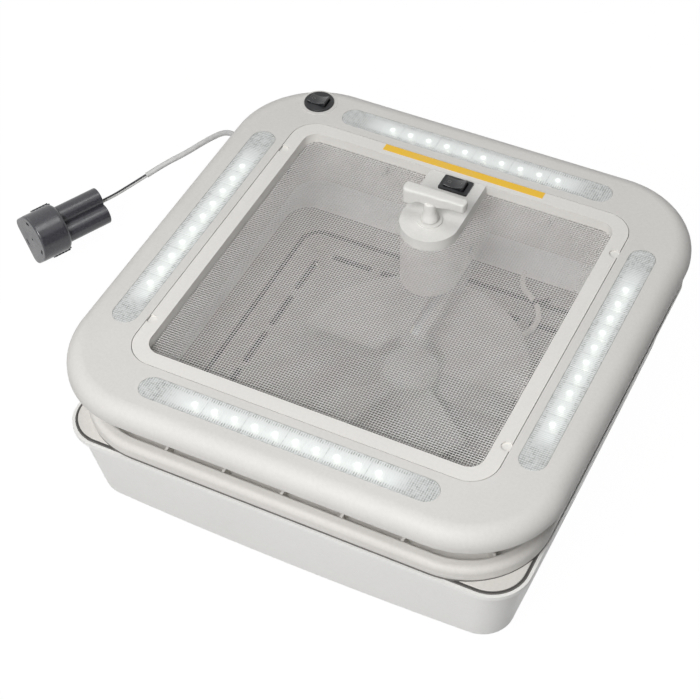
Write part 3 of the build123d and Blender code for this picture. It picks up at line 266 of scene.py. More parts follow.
def rounded_profile(corners: Sequence[Pair], radius: float, steps: int = 4) -> Array:
    """Profile whose inner corners are rounded by quadratic curves.

    Between a point before and a point after a corner, both radius away from it, each curve
    point is (1-t)^2 before + 2t(1-t) corner + t^2 after.

    Args:
        corners: Rows of (radius, height).
        radius: How far from each corner the rounding starts.
        steps: Points on each rounding.

    Returns:
        Rows of (radius, height).
    """
    longest_share = 0.45
    given = np.array(corners, float)
    rows = [given[0]]
    t = np.linspace(0, 1, steps)[:, None]
    for before, here, after in zip(given, given[1:], given[2:]):
        run_in, run_out = before - here, after - here
        start = here + run_in * min(longest_share, radius / np.linalg.norm(run_in))
        end = here + run_out * min(longest_share, radius / np.linalg.norm(run_out))
        rows += list((1 - t) ** 2 * start + 2 * t * (1 - t) * here + t ** 2 * end)
    rows.append(given[-1])
    return np.array(rows)


# ---------------------------------------------------------------- node trees
def maths(operation: str) -> Callable[..., "Signal"]:
    """A method that puts a signal, and another value if there is one, through a maths node.

    Args:
        operation: Blender's name of the operation.

    Returns:
        The method.
    """
    def method(signal: "Signal", other: "Signal | float" = 0.0) -> "Signal":
        """The operation on the signal and the other value."""
        return signal.board.math(operation, signal, other)
    return method


@dataclass
class Signal:
    """An output in a node tree, so that sums on it are written as plain arithmetic.

    Above gives the larger and below the smaller of two values; fraction is what is left over
    the whole number below.
    """

    board: "NodeBoard"
    socket: Socket

    __add__, __sub__, __mul__ = maths("ADD"), maths("SUBTRACT"), maths("MULTIPLY")
    __truediv__, __pow__, __abs__ = maths("DIVIDE"), maths("POWER"), maths("ABSOLUTE")
    above, below = maths("MAXIMUM"), maths("MINIMUM")
    root, fraction = maths("SQRT"), maths("FRACT")

    def phase(self, pitch: float) -> "Signal":
        """How far a place is through its pitch, from -0.5 to 0.5."""
        return (self / pitch).fraction() - 0.5

    def ramp(self, low: float, high: float, start: float = 0.0, end: float = 1.0) -> "Signal":
        """Maps low..high to start..end, clamped.

        Args:
            low: Value that becomes start.
            high: Value that becomes end.
            start: Result at low and below.
            end: Result at high and above.

        Returns:
            The mapped value.
        """
        node = self.board.add("ShaderNodeMapRange", From_Min=low, From_Max=high,
                              To_Min=start, To_Max=end)
        self.board.link(self, node.inputs["Value"])
        return self.board.out(node, "Result")


@dataclass
class NodeBoard:
    """A node tree with short calls for the nodes that the finishes and the world use."""

    tree: bpy.types.NodeTree

    @property
    def shader(self) -> bpy.types.Node:
        """The principled shader."""
        return self.tree.nodes["Principled BSDF"]

    def add(self, kind: str, **values: object) -> bpy.types.Node:
        """Adds a node and sets its properties, or its inputs where the name is one of those.

        Args:
            kind: The node's Blender type.
            **values: Property or input values; underscores stand for spaces in input names.

        Returns:
            The node.
        """
        node = self.tree.nodes.new(kind)
        for key, value in values.items():
            if hasattr(node, key):
                setattr(node, key, value)
            else:
                node.inputs[key.replace("_", " ")].default_value = value
        return node

    def out(self, node: bpy.types.Node, name: str) -> Signal:
        """A node's output."""
        return Signal(self, node.outputs[name])

    def link(self, source: Signal, target: Socket) -> None:
        """Joins an output to an input."""
        self.tree.links.new(source.socket, target)

    def feed(self, name: str, source: Signal) -> None:
        """Joins an output to an input of the principled shader."""
        self.link(source, self.shader.inputs[name])

    def set(self, **values: object) -> None:
        """Sets plain values on the principled shader's own sockets."""
        for key, value in values.items():
            self.shader.inputs[key.replace("_", " ")].default_value = value

    def place(self) -> Signal:
        """Object coordinates, in metres."""
        return self.out(self.add("ShaderNodeTexCoord"), "Object")

    def axes(self, vector: Signal) -> list[Signal]:
        """Parts a vector.

        Args:
            vector: The vector.

        Returns:
            Its x, y and z.
        """
        node = self.add("ShaderNodeSeparateXYZ")
        self.link(vector, node.inputs["Vector"])
        return [Signal(self, output) for output in node.outputs]

    def noise(self, size: float, detail: float = 3.0, where: Signal | None = None) -> Signal:
        """Noise whose features are about size metres wide.

        Args:
            size: Width of a feature.
            detail: Octaves.
            where: Coordinates, or None for the object's own.

        Returns:
            The noise value, from 0 to 1.
        """
        node = self.add("ShaderNodeTexNoise", Scale=1.0 / size, Detail=detail)
        self.link(where or self.place(), node.inputs["Vector"])
        return self.out(node, "Fac")

    def math(self, operation: str, first: Signal | float, second: Signal | float = 0.0) -> Signal:
        """A maths node.

        Args:
            operation: Blender's name of the operation.
            first: First value.
            second: Second value, for an operation on two.

        Returns:
            The result.
        """
        node = self.add("ShaderNodeMath", operation=operation)
        for slot, value in zip(node.inputs, (first, second)):
            if isinstance(value, Signal):
                self.link(value, slot)
            else:
                slot.default_value = value
        return self.out(node, "Value")

    def mix(self, share: Signal, first: Signal | Colour, second: Colour) -> Signal:
        """Mix of two colours, as first x (1 - share) + second x share.

        Args:
            share: Share of the second colour.
            first: The first colour.
            second: The second colour.

        Returns:
            The mixed colour.
        """
        node = self.add("ShaderNodeMix", data_type="RGBA")
        self.link(share, node.inputs["Factor"])
        slots = [s for s in node.inputs if s.type == "RGBA"]
        if isinstance(first, Signal):
            self.link(first, slots[0])
        else:
            slots[0].default_value = (*first, 1.0)
        slots[1].default_value = (*second, 1.0)
        return Signal(self, next(s for s in node.outputs if s.type == "RGBA"))

    def cover(self, share: Signal, colour: Colour) -> None:
        """Mixes what feeds the base colour towards another colour."""
        below = Signal(self, self.shader.inputs["Base Color"].links[0].from_socket)
        self.feed("Base Color", self.mix(share, below, colour))

    def bump(self, height: Signal, depth: float, strength: float = 1.0,
             under: Signal | None = None) -> Signal:
        """Bump of a height map, over another bump where one is given.

        Args:
            height: Height from 0 to 1.
            depth: Depth in metres between height 0 and 1.
            strength: Share of the effect.
            under: Normal of a bump below this one.

        Returns:
            The normal.
        """
        node = self.add("ShaderNodeBump", Strength=strength, Distance=depth)
        self.link(height, node.inputs["Height"])
        if under is not None:
            self.link(under, node.inputs["Normal"])
        return self.out(node, "Normal")

    def blend(self, share: Signal, first: Signal, second: Signal) -> None:
        """Puts a mix of two shaders on the material's output.

        Args:
            share: Share of the second shader.
            first: The first shader.
            second: The second shader.
        """
        node = self.add("ShaderNodeMixShader")
        for source, slot in zip((share, first, second), node.inputs):
            self.link(source, slot)
        self.link(self.out(node, "Shader"), self.tree.nodes["Material Output"].inputs["Surface"])

    def backdrop_rays(self) -> Signal:
        """Tells the rays that show the background from those that light the object.

        Returns:
            1 for camera, glossy and transmission rays, and 0 for the others.
        """
        path = self.add("ShaderNodeLightPath")
        through = self.out(path, "Is Glossy Ray").above(self.out(path, "Is Transmission Ray"))
        return self.out(path, "Is Camera Ray").above(through)


# ---------------------------------------------------------------- finishes
class Finish:
    """A finish that makes its material once and puts it on pieces."""

    name: str

    def paint(self, board: NodeBoard) -> None:
        """Fills the node tree; each finish has its own."""
        raise NotImplementedError

    def material(self) -> bpy.types.Material:
        """Looks the material up by its name, and makes it on first use.

        Returns:
            The material.
        """
        known = bpy.data.materials.get(self.name)
        if known is None:
            known = bpy.data.materials.new(self.name)
            known.use_nodes = True
            self.paint(NodeBoard(known.node_tree))
        return known

    def dress(self, piece: Piece) -> None:
        """Puts the finish on a whole piece, in place of what it had.

        Args:
            piece: The piece.
        """
        if piece.data.materials:
            for slot in piece.material_slots:
                slot.material = self.material()
        else:
            piece.data.materials.append(self.material())


@dataclass(frozen=True)
class MouldedPlastic(Finish):
    """Injection-moulded plastic: fine grain, faint tone drift, and dust that dulls flat faces."""

    name: str
    colour: Colour
    shade: Colour
    roughness: float = 0.42
    grain: Grain = Grain.SATIN
    gloss: float = 0.4
    grain_size: float = 0.0006
    grain_depth: float = 0.00003
    drift_size: float = 0.07
    speck_size: float = 0.0022
    dust_size: float = 0.011
    wave_size: float = 0.03
    wave_depth: float = 0.0002
    wave_strength: float = 0.25

    def paint(self, board: NodeBoard) -> None:
        """Tone from broad noise and specks, roughness from mid noise, bump from grain on waves.

        The tone is half of drift + specks, each a noise that is stretched to 0..1.

        Args:
            board: The material's nodes.
        """
        fine_share, wave_share = self.grain.value
        drift = board.noise(self.drift_size, 2.0).ramp(0.3, 0.7)
        specks = board.noise(self.speck_size, 4.0).ramp(0.30, 0.62)
        board.feed("Base Color", board.mix((drift + specks) * 0.5, self.shade, self.colour))
        dust = board.noise(self.dust_size)
        board.feed("Roughness", dust.ramp(0.25, 0.75, self.roughness - 0.07, self.roughness + 0.08))
        waves = board.bump(board.noise(self.wave_size, 1.0), self.wave_depth,
                           self.wave_strength * wave_share)
        grain = board.noise(self.grain_size, 2.0)
        board.feed("Normal", board.bump(grain, self.grain_depth, fine_share, waves))
        board.set(Specular_IOR_Level=self.gloss, IOR=1.49)


@dataclass(frozen=True)
class GroovedPlastic(MouldedPlastic):
    """Moulded panel with painted shade on its slot walls and along its square groove."""

    level: float = 0.0
    reach: float = 0.0004
    groove_half: float = 0.133
    groove_corner: float = 0.016
    groove_width: float = 0.0052
    rise: float = 0.0002
    fade: float = 0.0004
    # colour of the painted shade on the slot walls and in the groove
    painted_shade: Colour = (0.1, 0.1, 0.1)

    def groove(self, x: Signal, y: Signal, z: Signal) -> Signal:
        """Share of painted shade by the distance to the outline of a rounded square.

        The distance is the length of (max(|x| - core, 0), max(|y| - core, 0)) less the corner,
        with core = the half side less the corner.

        Args:
            x: Place along the hinge.
            y: Place towards the hinge.
            z: Height.

        Returns:
            The share, from 0 to 1.
        """
        core = self.groove_half - self.groove_corner
        across, forward = ((abs(side) - core).above(0.0) ** 2.0 for side in (x, y))
        away = abs((across + forward).root() - self.groove_corner)
        band = away.ramp(0.42 * self.groove_width, 0.5 * self.groove_width, 1.0, 0.0)
        top = self.level + self.rise
        return band * z.ramp(top, top + self.fade, 1.0, 0.0)

    def paint(self, board: NodeBoard) -> None:
        """The plain plastic, mixed towards painted shade below the level and along the groove.

        Args:
            board: The material's nodes.
        """
        super().paint(board)
        x, y, z = board.axes(board.place())
        walls = z.ramp(self.level - self.reach, self.level - 0.25 * self.reach, 1.0, 0.0)
        # painted shade on the slot walls and along the groove
        board.cover(walls.above(self.groove(x, y, z)), self.painted_shade)


@dataclass(frozen=True)
class FloorShadedPlastic(MouldedPlastic):
    """Moulded shell with painted shade on its inner floor, under the liner."""

    level: float = 0.010
    fade: float = 0.002
    # colour of the painted shade on the inner floor under the liner
    dust: Colour = (0.1, 0.1, 0.1)

    def paint(self, board: NodeBoard) -> None:
        """The plain plastic, mixed towards the painted shade where it looks up and lies below the
        level.

        Args:
            board: The material's nodes.
        """
        super().paint(board)
        height = board.axes(board.place())[2]
        normal = board.out(board.add("ShaderNodeTexCoord"), "Normal")
        upward = board.axes(normal)[2].ramp(0.6, 0.8)
        # painted shade on the inner floor, under the liner
        board.cover(upward * height.ramp(self.level, self.level + self.fade, 1.0, 0.0), self.dust)


@dataclass(frozen=True)
class SheetMetal(Finish):
    """Plated or brushed steel: fine scratches along one axis and a soft stain."""

    name: str
    colour: Colour
    roughness: float = 0.3
    brushed: Point = (1.0, 12.0, 12.0)
    scratch_size: float = 0.002
    scratch_depth: float = 0.00004
    stain_size: float = 0.012
    stain_share: float = 0.72

    def paint(self, board: NodeBoard) -> None:
        """Scratches are noise on coordinates that are squeezed across the brushing.

        Args:
            board: The material's nodes.
        """
        mapping = board.add("ShaderNodeMapping", Scale=self.brushed)
        board.link(board.place(), mapping.inputs["Vector"])
        scratches = board.noise(self.scratch_size, 4.0, board.out(mapping, "Vector"))
        stain = board.noise(self.stain_size).ramp(0.3, 0.75)
        stained = tuple(self.stain_share * v for v in self.colour)
        board.feed("Base Color", board.mix(stain, stained, self.colour))
        rough = scratches.ramp(0.2, 0.8, self.roughness - 0.1, self.roughness + 0.15)
        board.feed("Roughness", rough)
        board.feed("Normal", board.bump(scratches, self.scratch_depth, 0.5))
        board.set(Metallic=1.0)


@dataclass(frozen=True)
class SoftRubber(Finish):
    """Rubber or cable jacket: matt, with a bloom and fine extrusion lines."""

    name: str
    colour: Colour
    bloom: Colour
    roughness: float = 0.62
    bloom_size: float = 0.006
    wear_size: float = 0.004
    line_size: float = 0.0005
    line_depth: float = 0.00004

    def paint(self, board: NodeBoard) -> None:
        """Bloom from mid noise; extrusion lines from fine noise.

        Args:
            board: The material's nodes.
        """
        bloom = board.noise(self.bloom_size).ramp(0.35, 0.8)
        board.feed("Base Color", board.mix(bloom, self.colour, self.bloom))
        wear = board.noise(self.wear_size, 2.0)
        board.feed("Roughness", wear.ramp(0.3, 0.7, self.roughness - 0.08, self.roughness + 0.1))
        board.feed("Normal", board.bump(board.noise(self.line_size, 2.0), self.line_depth, 0.5))
        board.set(Specular_IOR_Level=0.35)


@dataclass(frozen=True)
class ScreenWire(Finish):
    """Coated glass-fibre wire of the fly screen: grey with a dusty sparkle."""

    name: str
    colour: Colour
    dust: Colour
    dust_size: float = 0.02
    sparkle_size: float = 0.0009
    sparkle_depth: float = 0.00003

    def paint(self, board: NodeBoard) -> None:
        """Dust from half of broad + fine noise.

        Args:
            board: The material's nodes.
        """
        broad = board.noise(self.dust_size)
        fine = board.noise(self.sparkle_size, 2.0)
        dust = ((broad + fine) * 0.5).ramp(0.35, 0.65)
        board.feed("Base Color", board.mix(dust, self.colour, self.dust))
        board.feed("Roughness", fine.ramp(0.2, 0.8, 0.35, 0.6))
        board.feed("Normal", board.bump(fine, self.sparkle_depth, 0.5))


@dataclass(frozen=True)
class PrismLens(Finish):
    """Milky ribbed light cover: grey hatching of painted shade at its edges and ends, a glow over
    each diode.

    Pairs of sizes give where a mark starts and where it is full.
    """

    name: str
    tint: Colour
    valley_shade: Colour
    milk: float = 0.70
    shaded_milk: float = 0.25
    pitch: float = 0.0017
    cell: float = 0.0297
    edge: Pair = (0.0050, 0.0066)
    edge_fade: Pair = (0.0082, 0.0090)
    end: Pair = (0.078, 0.092)
    middle_share: float = 0.10
    seam: Pair = (0.484, 0.497)
    seam_end: Pair = (0.076, 0.078)
    outline: Pair = (0.0086, 0.0089)
    wear_size: float = 0.0028
    glow_radius: float = 0.0015
    glow: float = 1.3
    haze: float = 0.10
    haze_width: Pair = (0.002, 0.008)
    ripple_size: float = 0.0011
    ripple_depth: float = 0.00008

    def hatch(self, board: NodeBoard, along: Signal, away: Signal) -> Signal:
        """Share of painted shade: dashes near the long edges, a lattice at the ends, cells, an
        outline.

        A dash is where the phase along the bar over the pitch is far from 0; the lattice adds
        the same across the bar, and a cell's seam is the same over the cell.

        Args:
            board: The material's nodes.
            along: Way along the bar from its middle.
            away: Distance from the bar's middle line.

        Returns:
            The share, from 0 to 1.
        """
        end = along.ramp(*self.end)
        edge = away.ramp(*self.edge) * away.ramp(*self.edge_fade, 1.0, 0.55)
        place = edge.above(end).above(self.middle_share)
        lattice = abs(away.phase(self.pitch)).ramp(0.26, 0.40, 0.0, 0.8) * end
        ribs = abs(along.phase(self.pitch)).ramp(0.20, 0.36).above(lattice)
        seam = abs(along.phase(self.cell)).ramp(*self.seam, 0.0, 0.7)
        seam = seam * along.ramp(*self.seam_end, 1.0, 0.0)
        outline = away.ramp(*self.outline, 0.0, 0.75)
        # uneven strength of the painted shade, from noise
        worn = board.noise(self.wear_size).ramp(0.35, 0.65, 0.35, 1.0)
        return (ribs * place).above(seam.above(outline)) * worn

    def light(self, board: NodeBoard, along: Signal, away: Signal) -> Signal:
        """Scattered light of the diodes, plus a haze that fades to the edges and ends.

        The light is e to the minus (distance to the nearest diode over the radius) squared.

        Args:
            board: The material's nodes.
            along: Way along the bar from its middle.
            away: Distance from the bar's middle line.

        Returns:
            The strength of the light.
        """
        step = along.phase(DIODE_PITCH) * (DIODE_PITCH / self.glow_radius)
        square = abs(step) ** 2.0 + (away / self.glow_radius) ** 2.0
        span = along.ramp(4.9 * DIODE_PITCH, 5.2 * DIODE_PITCH, 1.0, 0.0)
        haze = (away.ramp(*self.haze_width, self.haze, 0.2 * self.haze)
                * along.ramp(4.6 * DIODE_PITCH, 6.0 * DIODE_PITCH, 1.0, 0.15))
        return board.math("POWER", INVERSE_E, square) * span * self.glow + haze

    def paint(self, board: NodeBoard) -> None:
        """A see-through shader mixed with a glossy milky one that glows.

        With a = the larger and b = the smaller of |x| and |y|, b is the way along the bar and
        |a - offset| the distance from its middle line.

        Args:
            board: The material's nodes.
        """
        x, y = (abs(side) for side in board.axes(board.place())[:2])
        along = x.below(y)
        away = abs(x.above(y) - BAR_OFFSET)
        hatch = self.hatch(board, along, away)
        # painted shade of the ribs, seams and outline
        colour = board.mix(hatch, self.tint, self.valley_shade)
        board.feed("Base Color", colour)
        board.feed("Roughness", board.noise(0.004).ramp(0.3, 0.7, 0.14, 0.26))
        ripple = board.noise(self.ripple_size, 2.0)
        board.feed("Normal", board.bump(ripple, self.ripple_depth, 0.5))
        board.feed("Emission Strength", self.light(board, along, away))
        board.set(IOR=1.5, Specular_IOR_Level=0.5, Emission_Color=(*srgb(244, 252, 250), 1.0))
        clear = board.add("ShaderNodeBsdfTransparent")
        board.link(colour, clear.inputs["Color"])
        board.blend(hatch * self.shaded_milk + self.milk, board.out(clear, "BSDF"),
                    board.out(board.shader, "BSDF"))


@dataclass(frozen=True)
class LampGlow(Finish):
    """Lit phosphor of the diodes: white light, a little weaker towards the chip's edge."""

    name: str
    colour: Colour
    strength: float
    grain_size: float = 0.0007
    dim_share: float = 0.85

    def paint(self, board: NodeBoard) -> None:
        """Emission whose colour varies with fine noise, at a steady strength.

        Args:
            board: The material's nodes.
        """
        fine = board.noise(self.grain_size, 2.0)
        dim = tuple(self.dim_share * v for v in self.colour)
        board.feed("Base Color", board.mix(fine, (0.9, 0.82, 0.45), (0.95, 0.9, 0.6)))
        board.feed("Emission Color", board.mix(fine.ramp(0.2, 0.6), dim, self.colour))
        board.feed("Normal", board.bump(fine, 0.00003, 0.4))
        board.set(Emission_Strength=self.strength, Roughness=0.35)


@dataclass(frozen=True)
class LitBoard(Finish):
    """White circuit board that is lit round each diode; along is 0 for a bar along X, 1 along Y."""

    name: str
    along: int
    reach: float = 0.0042
    strength: float = 0.6
    grain_size: float = 0.0012

    def paint(self, board: NodeBoard) -> None:
        """Light falls off with the distance to the nearest diode, as 1 / (1 + (d / reach)^4).

        The distance is taken along the bar, from its phase over the pitch; the light also
        weakens towards the board's long edges.

        Args:
            board: The material's nodes.
        """
        sides = board.axes(board.place())
        along, across = sides[self.along], sides[1 - self.along]
        step = (along + DIODE_PITCH / 2).phase(DIODE_PITCH) * (DIODE_PITCH / self.reach)
        span = abs(along).ramp(5.0 * DIODE_PITCH, 5.4 * DIODE_PITCH, 1.0, 0.0)
        fall = span / (abs(step) ** 4.0 + 1.0)
        grain = board.noise(self.grain_size)
        board.feed("Base Color", board.mix(grain.ramp(0.3, 0.7), srgb(226, 229, 227),
                                           srgb(240, 242, 241)))
        side = abs(abs(across) - BAR_OFFSET).ramp(0.0015, 0.0062, 1.0, 0.35)
        board.feed("Emission Strength", fall * side * self.strength)
        board.feed("Normal", board.bump(grain, 0.00005, 0.4))
        board.set(Emission_Color=(*srgb(236, 248, 246), 1.0), Roughness=0.45)


@dataclass(frozen=True)
class PrintedFilm(Finish):
    """Blank sticker film: strong colour, worn pale at random and slightly wavy."""

    name: str
    colour: Colour
    worn: Colour
    spot_size: float = 0.004
    patch_size: float = 0.018
    wave_size: float = 0.009
    wave_depth: float = 0.0001

    def paint(self, board: NodeBoard) -> None:
        """Wear from the product of two noises, waves from a broad one.

        Args:
            board: The material's nodes.
        """
        wear = board.noise(self.spot_size, 4.0) * board.noise(self.patch_size, 2.0)
        board.feed("Base Color", board.mix(wear.ramp(0.22, 0.42), self.colour, self.worn))
        board.feed("Roughness", wear.ramp(0.1, 0.5, 0.28, 0.5))
        board.feed("Normal", board.bump(board.noise(self.wave_size, 2.0), self.wave_depth, 0.4))
        board.set(Specular_IOR_Level=0.5)


@dataclass(frozen=True)
class Backdrop(Finish):
    """Floor that the camera sees as white, with a share that keeps the object's shadow."""

    name: str
    colour: Colour
    glow_share: float
    glow: float = 1.05
    patch_size: float = 0.3
    patch_share: float = 0.98

    def paint(self, board: NodeBoard) -> None:
        """Camera, glossy and transmission rays see a mix with plain white light.

        Args:
            board: The material's nodes.
        """
        light = board.add("ShaderNodeEmission", Color=WHITE, Strength=self.glow)
        board.blend(board.backdrop_rays() * self.glow_share, board.out(board.shader, "BSDF"),
                    board.out(light, "Emission"))
        darker = tuple(self.patch_share * v for v in self.colour)
        board.feed("Base Color", board.mix(board.noise(self.patch_size, 2.0), darker, self.colour))
        board.set(Roughness=0.9)


@dataclass(frozen=True)
class Finishes:
    """Every finish of the vent."""

    trim_white: Finish = MouldedPlastic("trim_white", srgb(219, 217, 214), srgb(212, 210, 206),
        0.5, gloss=0.28)
    border_white: Finish = MouldedPlastic("border_white", srgb(230, 228, 224), srgb(224, 222, 218),
        0.5, gloss=0.3)
    frame_white: Finish = MouldedPlastic("frame_white", srgb(228, 225, 221), srgb(219, 216, 211),
        0.5, gloss=0.3)
    # lid shell: its dark dust colour is painted shade on the inner floor under the liner
    lid_white: Finish = FloorShadedPlastic("lid_white", srgb(246, 245, 243), srgb(240, 239, 236), 0.36,
        Grain.POLISHED, dust=srgb(34, 33, 32))
    # liner: white plastic given a mid-grey tone as painted shade inside the vent
    liner_in_shade: Finish = GroovedPlastic("liner_in_shade", srgb(158, 154, 151), srgb(148, 144, 141),
        # the dark colour below is painted shade on the slot walls and along the groove
        0.5, Grain.LEATHERY, level=0.020, painted_shade=srgb(40, 39, 38))
    operator_white: Finish = MouldedPlastic("operator_white", srgb(229, 228, 225),
        srgb(222, 221, 217), 0.38)
    # cowl: white plastic given a grey tone to match the painted shade of the liner
    cowl_in_shade: Finish = MouldedPlastic("cowl_in_shade", srgb(176, 172, 169), srgb(166, 162, 159),
        0.45)
    nylon: Finish = MouldedPlastic("natural_nylon", srgb(222, 219, 205), srgb(206, 202, 186), 0.4,
        Grain.POLISHED)
    switch_black: Finish = MouldedPlastic("switch_black", srgb(38, 39, 42), srgb(24, 25, 27), 0.22,
        Grain.POLISHED, gloss=0.6)
    switch_satin: Finish = MouldedPlastic("switch_satin", srgb(34, 35, 37), srgb(23, 24, 26))
    # fan: tone darkened to match the painted shade of the liner
    fan_grey: Finish = MouldedPlastic("fan_grey", srgb(164, 161, 158), srgb(150, 147, 144), 0.4)
    hub_grey: Finish = MouldedPlastic("hub_grey", srgb(178, 176, 173), srgb(160, 158, 156), 0.35)
    motor_black: Finish = MouldedPlastic("motor_black", srgb(58, 57, 58), srgb(42, 42, 43), 0.45)
    pack_grey: Finish = MouldedPlastic("pack_grey", srgb(66, 66, 72), srgb(51, 51, 56), 0.26,
        gloss=0.70)
    pack_latch: Finish = MouldedPlastic("pack_latch", srgb(60, 61, 66), srgb(46, 47, 51), 0.45,
        Grain.LEATHERY)
    cell_wrap: Finish = MouldedPlastic("cell_wrap", srgb(86, 120, 165), srgb(70, 100, 142), 0.25,
        Grain.POLISHED)
    tie_dark: Finish = MouldedPlastic("tie_dark", srgb(58, 57, 56), srgb(44, 43, 43), 0.4,
        Grain.POLISHED)
    mark_grey: Finish = MouldedPlastic("mark_grey", srgb(108, 108, 107), srgb(90, 90, 89), 0.5)
    chip_dark: Finish = MouldedPlastic("chip_dark", srgb(92, 92, 90), srgb(70, 70, 69), 0.4,
        Grain.POLISHED)
    # screen clips: darkened as painted shade of the notch round each clip
    clip_grey: Finish = MouldedPlastic("clip_grey", srgb(168, 166, 162), srgb(140, 138, 135), 0.4)
    steel: Finish = SheetMetal("plated_steel", srgb(196, 198, 200))
    zinc: Finish = SheetMetal("zinc_screws", srgb(206, 206, 200), 0.25, (6.0, 6.0, 1.0))
    copper: Finish = SheetMetal("contact_brass", srgb(205, 160, 84), 0.28)
    seal: Finish = SoftRubber("seal_rubber", srgb(112, 110, 107), srgb(98, 96, 94))
    boot: Finish = SoftRubber("boot_rubber", srgb(70, 70, 70), srgb(96, 95, 93))
    jacket: Finish = SoftRubber("jacket_grey", srgb(205, 205, 204), srgb(190, 190, 189), 0.5)
    inner_jacket: Finish = SoftRubber("inner_jacket", srgb(226, 223, 218), srgb(212, 209, 204), 0.5)
    core_dark: Finish = SoftRubber("core_dark", srgb(46, 46, 49), srgb(66, 66, 69), 0.4)
    core_pale: Finish = SoftRubber("core_pale", srgb(196, 196, 194), srgb(172, 172, 170), 0.4)
    wire: Finish = ScreenWire("screen_wire", srgb(234, 231, 229), srgb(248, 246, 245))
    # lens: the darker colour is painted shade in the prism valleys, seams and outline
    lens: Finish = PrismLens("prism_lens", srgb(247, 249, 248), srgb(150, 154, 151))
    diode: Finish = LampGlow("lit_diode", (1.0, 1.0, 1.0), 1.6)
    label: Finish = PrintedFilm("label_yellow", srgb(240, 192, 50), srgb(234, 190, 78))


def fit(piece: Piece, finish: Finish, body: str, node: str = "") -> None:
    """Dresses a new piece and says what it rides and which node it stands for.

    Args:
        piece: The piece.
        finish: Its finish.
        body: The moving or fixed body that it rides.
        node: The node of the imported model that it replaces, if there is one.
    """
    finish.dress(piece)
    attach(piece, body)
    if node:
        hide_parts(node)


# ---------------------------------------------------------------- studio
@dataclass
class Studio:
    """Camera at the photograph's angle, soft lights, a white world and a pale floor."""

    eye: Point = (0.3810, -0.7818, 1.0227)
    right: Point = (0.89565, 0.44423, -0.02161)
    up: Point = (-0.31542, 0.66868, 0.67333)
    back: Point = (0.31356, -0.59625, 0.73903)
    lens_mm: float = 92.22
    sensor_mm: float = 36.0
    nearest: float = 0.05
    floor_half: float = 6.0
    floor_grey: int = 154
    floor_glow: float = 0.94
    world_strength: float = 0.10
    aim: Point = (-0.05, 0.0, 0.08)
    lamps: tuple[tuple[str, Point, float, float], ...] = (
        ("key", (-0.04, -1.50, 1.62), 0.9, 38.5), ("overhead", (0.30, 0.15, 2.10), 0.9, 8.0),
        ("side", (-1.60, 0.50, 1.10), 1.0, 3.2))

    def camera(self) -> None:
        """Makes the camera and sets it on the scene."""
        data = bpy.data.cameras.new("camera")
        data.sensor_width = self.sensor_mm
        data.lens = self.lens_mm
        data.clip_start = self.nearest
        camera = placed("camera", data)
        turn = Matrix((self.right, self.up, self.back)).transposed()
        camera.matrix_world = Matrix.Translation(self.eye) @ turn.to_4x4()
        bpy.context.scene.camera = camera

    def world(self) -> None:
        """White for the rays that show the background, and a softer white as light."""
        world = bpy.data.worlds.new("studio")
        world.use_nodes = True
        board = NodeBoard(world.node_tree)
        background = world.node_tree.nodes["Background"]
        background.inputs["Color"].default_value = WHITE
        board.link(board.backdrop_rays().ramp(0.0, 1.0, self.world_strength, 1.0),
                   background.inputs["Strength"])
        bpy.context.scene.world = world

    def lamp(self, name: str, place: Point, size: float, power: float) -> None:
        """A square area lamp that points at the vent.

        Args:
            name: The lamp's name.
            place: Where it hangs.
            size: Length of its sides.
            power: Watts.
        """
        data = bpy.data.lights.new(name, "AREA")
        data.size = size
        data.energy = power
        lamp = placed(name, data)
        lamp.location = place
        towards = Vector(self.aim) - Vector(place)
        lamp.rotation_euler = towards.to_track_quat("-Z", "Y").to_euler()

    def floor(self) -> None:
        """The pale floor under the vent."""
        half = self.floor_half
        corners = [[-half, -half, 0.0], [half, -half, 0.0], [half, half, 0.0], [-half, half, 0.0]]
        piece = Shape().add(np.array(corners), [(0, 1, 2, 3)]).build("floor", smooth=False)
        Backdrop("floor_white", srgb(*[self.floor_grey] * 3), self.floor_glow).dress(piece)

    def build(self) -> None:
        """Sets up the whole studio."""
        self.camera()
        self.world()
        self.floor()
        for lamp in self.lamps:
            self.lamp(*lamp)
        bpy.context.scene.view_settings.view_transform = "Standard"


